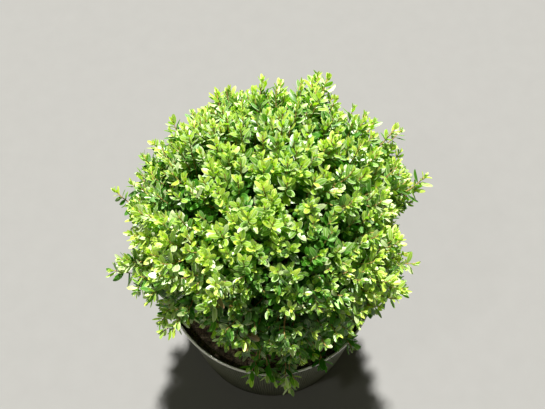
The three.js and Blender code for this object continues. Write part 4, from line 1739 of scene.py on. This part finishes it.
    def grow(self) -> tuple[dict[str, Stalks], Leaves]:
        """Grows every stalk and leaf.

        Returns:
            The stalks by the name of their order, and the leaves.
        """
        source, crown = self.source, self.crown
        stems = self.stem_twigs()
        hubs = self.sites(self.branches, self.branch_level, 8.0, self.lowest + 8)
        branch = self.grown_on(stems, hubs, self.branch_growth)
        nodes = self.sites(self.branchlets, self.branchlet_level, 7.0, self.lowest + 4)
        branchlet = self.grown_on(branch, nodes, self.branchlet_growth)
        tips, vigour, lifts = self.shoot_tips()
        shoot = self.tipped(self.grown_on(branchlet, tips, self.shoot_growth), lifts, 0.22)
        hung = self.hung_over(branchlet)
        twice = np.repeat(np.arange(hung.count()), 2)
        hung_side = self.side_shoots(hung, twice, self.hung_side_shares, self.hung_side_lengths)
        deep = source.uniform(*self.inner_levels, self.inner_shoots)
        buds = crown.spread(self.inner_shoots, deep, source, 7.0)
        buds = buds - crown.outward(buds) * (0.6 * self.bells(buds, self.hollows))[:, None]
        grows = source.uniform(size=len(buds)) > 0.6 * self.low_front(buds)
        buds = buds[(buds[:, 2] > self.lowest + 4) & self.above_skirt(buds, self.tip_margin) & grows]
        inner = self.grown_on(branchlet, buds, self.inner_growth)
        inner = self.tipped(inner, np.full(inner.count(), 0.2), 0.35)
        lateral, lateral_vigour = self.laterals(shoot, vigour)
        leaves = Leaves.joined([
            self.leafed(shoot, vigour, 0, 3.0),
            self.leafed(lateral, lateral_vigour, 1, 2.0),
            # Painted shade: the inner shoots' leaves, and below them the branchlets', are shifted to darker
            # kinds.
            self.leafed(inner, (0.85, 1.05), 3, 4.0, -0.14),
            self.leafed(branchlet, (0.85, 1.0), 6, 8.0, -0.1),
        ])
        low = Leaves.joined([
            # Painted light: the hanging and low-standing shoots' leaves are shifted to lighter kinds, the
            # most low in front, in the crown's shade.
            self.leafed(stalks, sizes, 1, 3.0, 0.14 + 0.3 * self.low_front(stalks.tip))
            for stalks, sizes in ((hung, (1.0, 1.12)), (hung_side, (0.85, 1.0)))
        ])
        leaves = self.tinted(Leaves.joined([self.kept(leaves, True), self.kept(low, False)]))
        return {
            "twigs_main": stems, "twigs_branch": branch, "twigs_branchlet": branchlet,
            "twigs_shoot": shoot, "twigs_hanging": hung, "twigs_hanging_side": hung_side,
            "twigs_inner": inner, "twigs_lateral": lateral,
        }, leaves

    def hung_over(self, before: Stalks) -> Stalks:
        """Grows the shoots that hang over the rim and those that stand out low at the left.

        Args:
            before: The stalks that they grow from.

        Returns:
            Shoots that bend above the rim, or above their own tip where that is the higher, and drop again.
        """
        tips = np.array(self.hanging, float)
        hung = self.grown_on(before, tips, self.hung_growth)
        high = np.maximum(tips[:, 2:], self.hung_height) + self.hung_rise
        over = np.concatenate([tips[:, :2] * self.hung_draw, high], axis=-1)
        return Stalks(hung.start, over, tips, hung.base_radius, hung.tip_radius)

    def laterals(self, shoot: Stalks, vigour: Array) -> tuple[Stalks, Array]:
        """Grows side shoots out of the shoots.

        Args:
            shoot: The shoots.
            vigour: How large each shoot's leaves are.

        Returns:
            The side shoots and how large their leaves are. Each leaves its shoot part way up and turns
            outwards again.
        """
        source = self.source
        which = np.repeat(np.arange(shoot.count()), source.integers(0, 3, shoot.count()))
        made = self.side_shoots(shoot, which, self.lateral_shares, self.lateral_lengths)
        grows = self.has_room(made.tip) & self.above_skirt(made.tip, self.shoot_margin)
        grows &= self.crown.level(made.tip) < self.lateral_level
        return made.picked(grows), (vigour[which] * source.uniform(0.7, 0.95, len(which)))[grows]

    def side_shoots(self, shoot: Stalks, which: Array, shares: Range, lengths: Range) -> Stalks:
        """Grows stalks sideways out of others.

        Args:
            shoot: The stalks that they grow from.
            which: The number of the stalk that each new one grows from.
            shares: The least and greatest share along the old stalk at which a new one starts.
            lengths: The least and greatest length.

        Returns:
            The new stalks, each out to a side half way and then nearer to its stalk's own direction.
        """
        source = self.source
        old = shoot.picked(which)
        share = source.uniform(*shares, len(which))
        start, axis = old.at(share), old.heading(share)
        side = turned_about(square_to(axis), axis, source.uniform(0, 2 * np.pi, len(which)))
        length = source.uniform(*lengths, len(which))[:, None]
        bend = start + unit(axis + side * 0.95) * length * 0.5
        tip = bend + unit(axis + side * 0.45 + self.crown.outward(start) * 0.3) * length * 0.5
        thin = np.full(len(which), 0.7)
        return Stalks(start, bend, tip, thin, thin * 0.7)


@dataclass
class Foliage:
    """The dressed twigs and leaves."""

    growth: Growth
    compost: Compost
    most: int = 12000
    finishes: dict[Leaf, LeafFinish] = field(default_factory=lambda: {
        # The inner and deep kinds' dark colours are partly painted shade inside the crown, and the pale edge
        # colours and the pale kind partly a painted highlight.
        Leaf.INNER: LeafFinish(
            "leaf_inner", (0.012, 0.095, 0.001), (0.04, 0.16, 0.003), (0.014, 0.11, 0.001), 0.55,
            sheen=SHADED_SHEEN),
        Leaf.DEEP: LeafFinish(
            "leaf_deep", (0.020, 0.130, 0.001), (0.11, 0.29, 0.03), (0.028, 0.17, 0.001), 0.44,
            sheen=SHADED_SHEEN),
        Leaf.MID: LeafFinish(
            "leaf_mid", (0.048, 0.195, 0.002), (0.36, 0.52, 0.18), (0.068, 0.24, 0.003), 0.42),
        Leaf.LIGHT: LeafFinish(
            "leaf_light", (0.132, 0.31, 0.010), (0.66, 0.75, 0.45), (0.17, 0.37, 0.012), 0.42),
        Leaf.YOUNG: LeafFinish(
            "leaf_young", (0.28, 0.46, 0.022), (0.72, 0.82, 0.45), (0.34, 0.54, 0.025), 0.45),
        Leaf.NEW: LeafFinish(
            "leaf_new", (0.48, 0.64, 0.035), (0.80, 0.86, 0.38), (0.58, 0.73, 0.04), 0.49),
        Leaf.PALE: LeafFinish(
            "leaf_pale", (0.46, 0.57, 0.25), (0.92, 0.92, 0.66), (0.56, 0.67, 0.33), 0.44),
        Leaf.BRONZE: LeafFinish(
            "leaf_bronze", (0.17, 0.10, 0.02), (0.34, 0.26, 0.08), (0.25, 0.13, 0.02), 0.5),
    })
    old_bark: BarkFinish = BarkFinish("twig_old", (0.27, 0.23, 0.13), (0.08, 0.065, 0.035), 500.0, 0.0006)
    new_bark: BarkFinish = BarkFinish("twig_new", (0.44, 0.30, 0.09), (0.24, 0.14, 0.04), 700.0, 0.0003)

    def build(self) -> None:
        """Builds and dresses the twigs and the leaves."""
        stalks, leaves = self.growth.grow()
        masses = [f"foliage_{name}" for name in self.growth.limbs.names()]
        old, new = self.old_bark.material(), self.new_bark.material()
        order = (
            ("twigs_main", 8, 10, old), ("twigs_branch", 6, 9, old), ("twigs_branchlet", 5, 6, old),
            ("twigs_shoot", 4, 6, new), ("twigs_hanging", 5, 9, new), ("twigs_hanging_side", 4, 5, new),
            ("twigs_inner", 4, 5, new), ("twigs_lateral", 3, 3, new),
        )
        for name, sides, steps, material in order:
            piece(name, stalks[name].surface(sides, steps), material, masses)
        source = np.random.default_rng(self.compost.seed + 1)
        leaves = Leaves.joined([leaves, self.compost.fallen_leaves(source)])
        for kind, finish in self.finishes.items():
            chosen = leaves.picked(leaves.kind == kind.value)
            material = finish.material(self.growth.blade.tiles)
            batches = np.array_split(np.arange(chosen.count()), math.ceil(chosen.count() / self.most))
            for number, batch in enumerate(batches, 1):
                surface = self.growth.blade.surface(chosen.picked(batch))
                piece(f"{finish.name}_{number}", surface, material, masses)


@dataclass
class Studio:
    """The floor, the lights and the camera."""

    place: Triple = (0.00367, -0.36827, 1.22349)
    fall: float = 64.5
    roll: float = -0.9
    lens: float = 48.68
    sensor: float = 36.0
    floor_half: float = 6.0
    floor_dark: Colour = (0.175, 0.175, 0.17)
    floor_light: Colour = (0.188, 0.188, 0.183)
    crown: Triple = (0.0, 0.0, 0.36)
    sun_way: Triple = (0.03, 0.94, 2.21)
    sun_width: float = 3.0
    sun_strength: float = 10.6
    sun_colour: Colour = (1.0, 0.98, 0.94)
    fill_place: Triple = (-0.98, -0.69, 2.45)
    fill_size: float = 0.12
    fill_power: float = 6.0
    fill_colour: Colour = (1.0, 0.99, 0.92)
    sky: tuple[float, ...] = (1.0, 0.99, 0.64, 1.0)
    sky_strength: float = 0.092

    def floor(self) -> None:
        """Lays a plain pale floor."""
        nodes = Nodes("floor_pale")
        grain = nodes.noise(nodes.place(), 30.0, 3.0)
        colour = nodes.blend(grain, self.floor_dark, self.floor_light)
        nodes.finished(Base_Color=colour, Roughness=0.9)
        half = self.floor_half
        mesh = bpy.data.meshes.new("floor")
        corners = [(-half, -half, 0), (half, -half, 0), (half, half, 0), (-half, half, 0)]
        mesh.from_pydata(corners, [], [(0, 1, 2, 3)])
        mesh.materials.append(nodes.material)
        placed("floor", mesh)

    def lamp(self, name: str, kind: str, place: Triple, way: Vector, power: float, colour: Colour,
             **settings: Any) -> None:
        """Hangs a lamp.

        Args:
            name: The lamp's name.
            kind: The kind of lamp.
            place: Where it hangs, in metres.
            way: The direction from what it lights towards it.
            power: Its power in watts, or a sun's in watts to the square metre.
            colour: Its colour.
            **settings: Its other settings.
        """
        light = bpy.data.lights.new(name, kind)
        for setting, value in (settings | {"energy": power, "color": colour}).items():
            setattr(light, setting, value)
        made = placed(name, light)
        made.location = place
        made.rotation_euler = way.to_track_quat("Z", "Y").to_euler()

    def lights(self) -> None:
        """Hangs the sun and a small lamp at the front left, and sets the even light all round."""
        self.lamp("lamp_key", "SUN", self.sun_way, Vector(self.sun_way), self.sun_strength,
                  self.sun_colour, angle=math.radians(self.sun_width))
        self.lamp("lamp_fill", "AREA", self.fill_place, Vector(self.fill_place) - Vector(self.crown),
                  self.fill_power, self.fill_colour, shape="SQUARE", size=self.fill_size)
        world = bpy.data.worlds.new("even_light")
        world.use_nodes = True
        background = world.node_tree.nodes["Background"]
        background.inputs["Color"].default_value = self.sky
        background.inputs["Strength"].default_value = self.sky_strength
        bpy.context.scene.world = world

    def camera(self) -> None:
        """Sets the camera as the photographer stood: over the pot, a little left of upright."""
        fall, roll = math.radians(self.fall), math.radians(self.roll)
        ahead = Vector((0, math.cos(fall), -math.sin(fall)))
        up, right = Vector((0, math.sin(fall), math.cos(fall))), Vector((1, 0, 0))
        side = right * math.cos(roll) + up * math.sin(roll)
        top = up * math.cos(roll) - right * math.sin(roll)
        data = bpy.data.cameras.new("camera")
        data.lens, data.sensor_width = self.lens, self.sensor
        made = placed("camera", data)
        turn = Matrix((side, top, -ahead)).transposed()
        made.matrix_world = Matrix.Translation(self.place) @ turn.to_4x4()
        bpy.context.scene.camera = made

    def build(self) -> None:
        """Sets the stage."""
        self.floor()
        self.lights()
        self.camera()
        bpy.context.scene.view_settings.view_transform = "Standard"


def main() -> None:
    """Builds the plant and its pot around the frame."""
    logging.basicConfig(level=logging.INFO, format="%(message)s")
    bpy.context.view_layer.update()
    pot, blade = Pot(), Blade()
    compost = Compost(pot, blade)
    limbs = Limbs(compost)
    Studio().build()
    pot.build()
    compost.build()
    limbs.build()
    Foliage(Growth(limbs, Crown(), blade), compost).build()


if __name__ == "__main__":
    main()
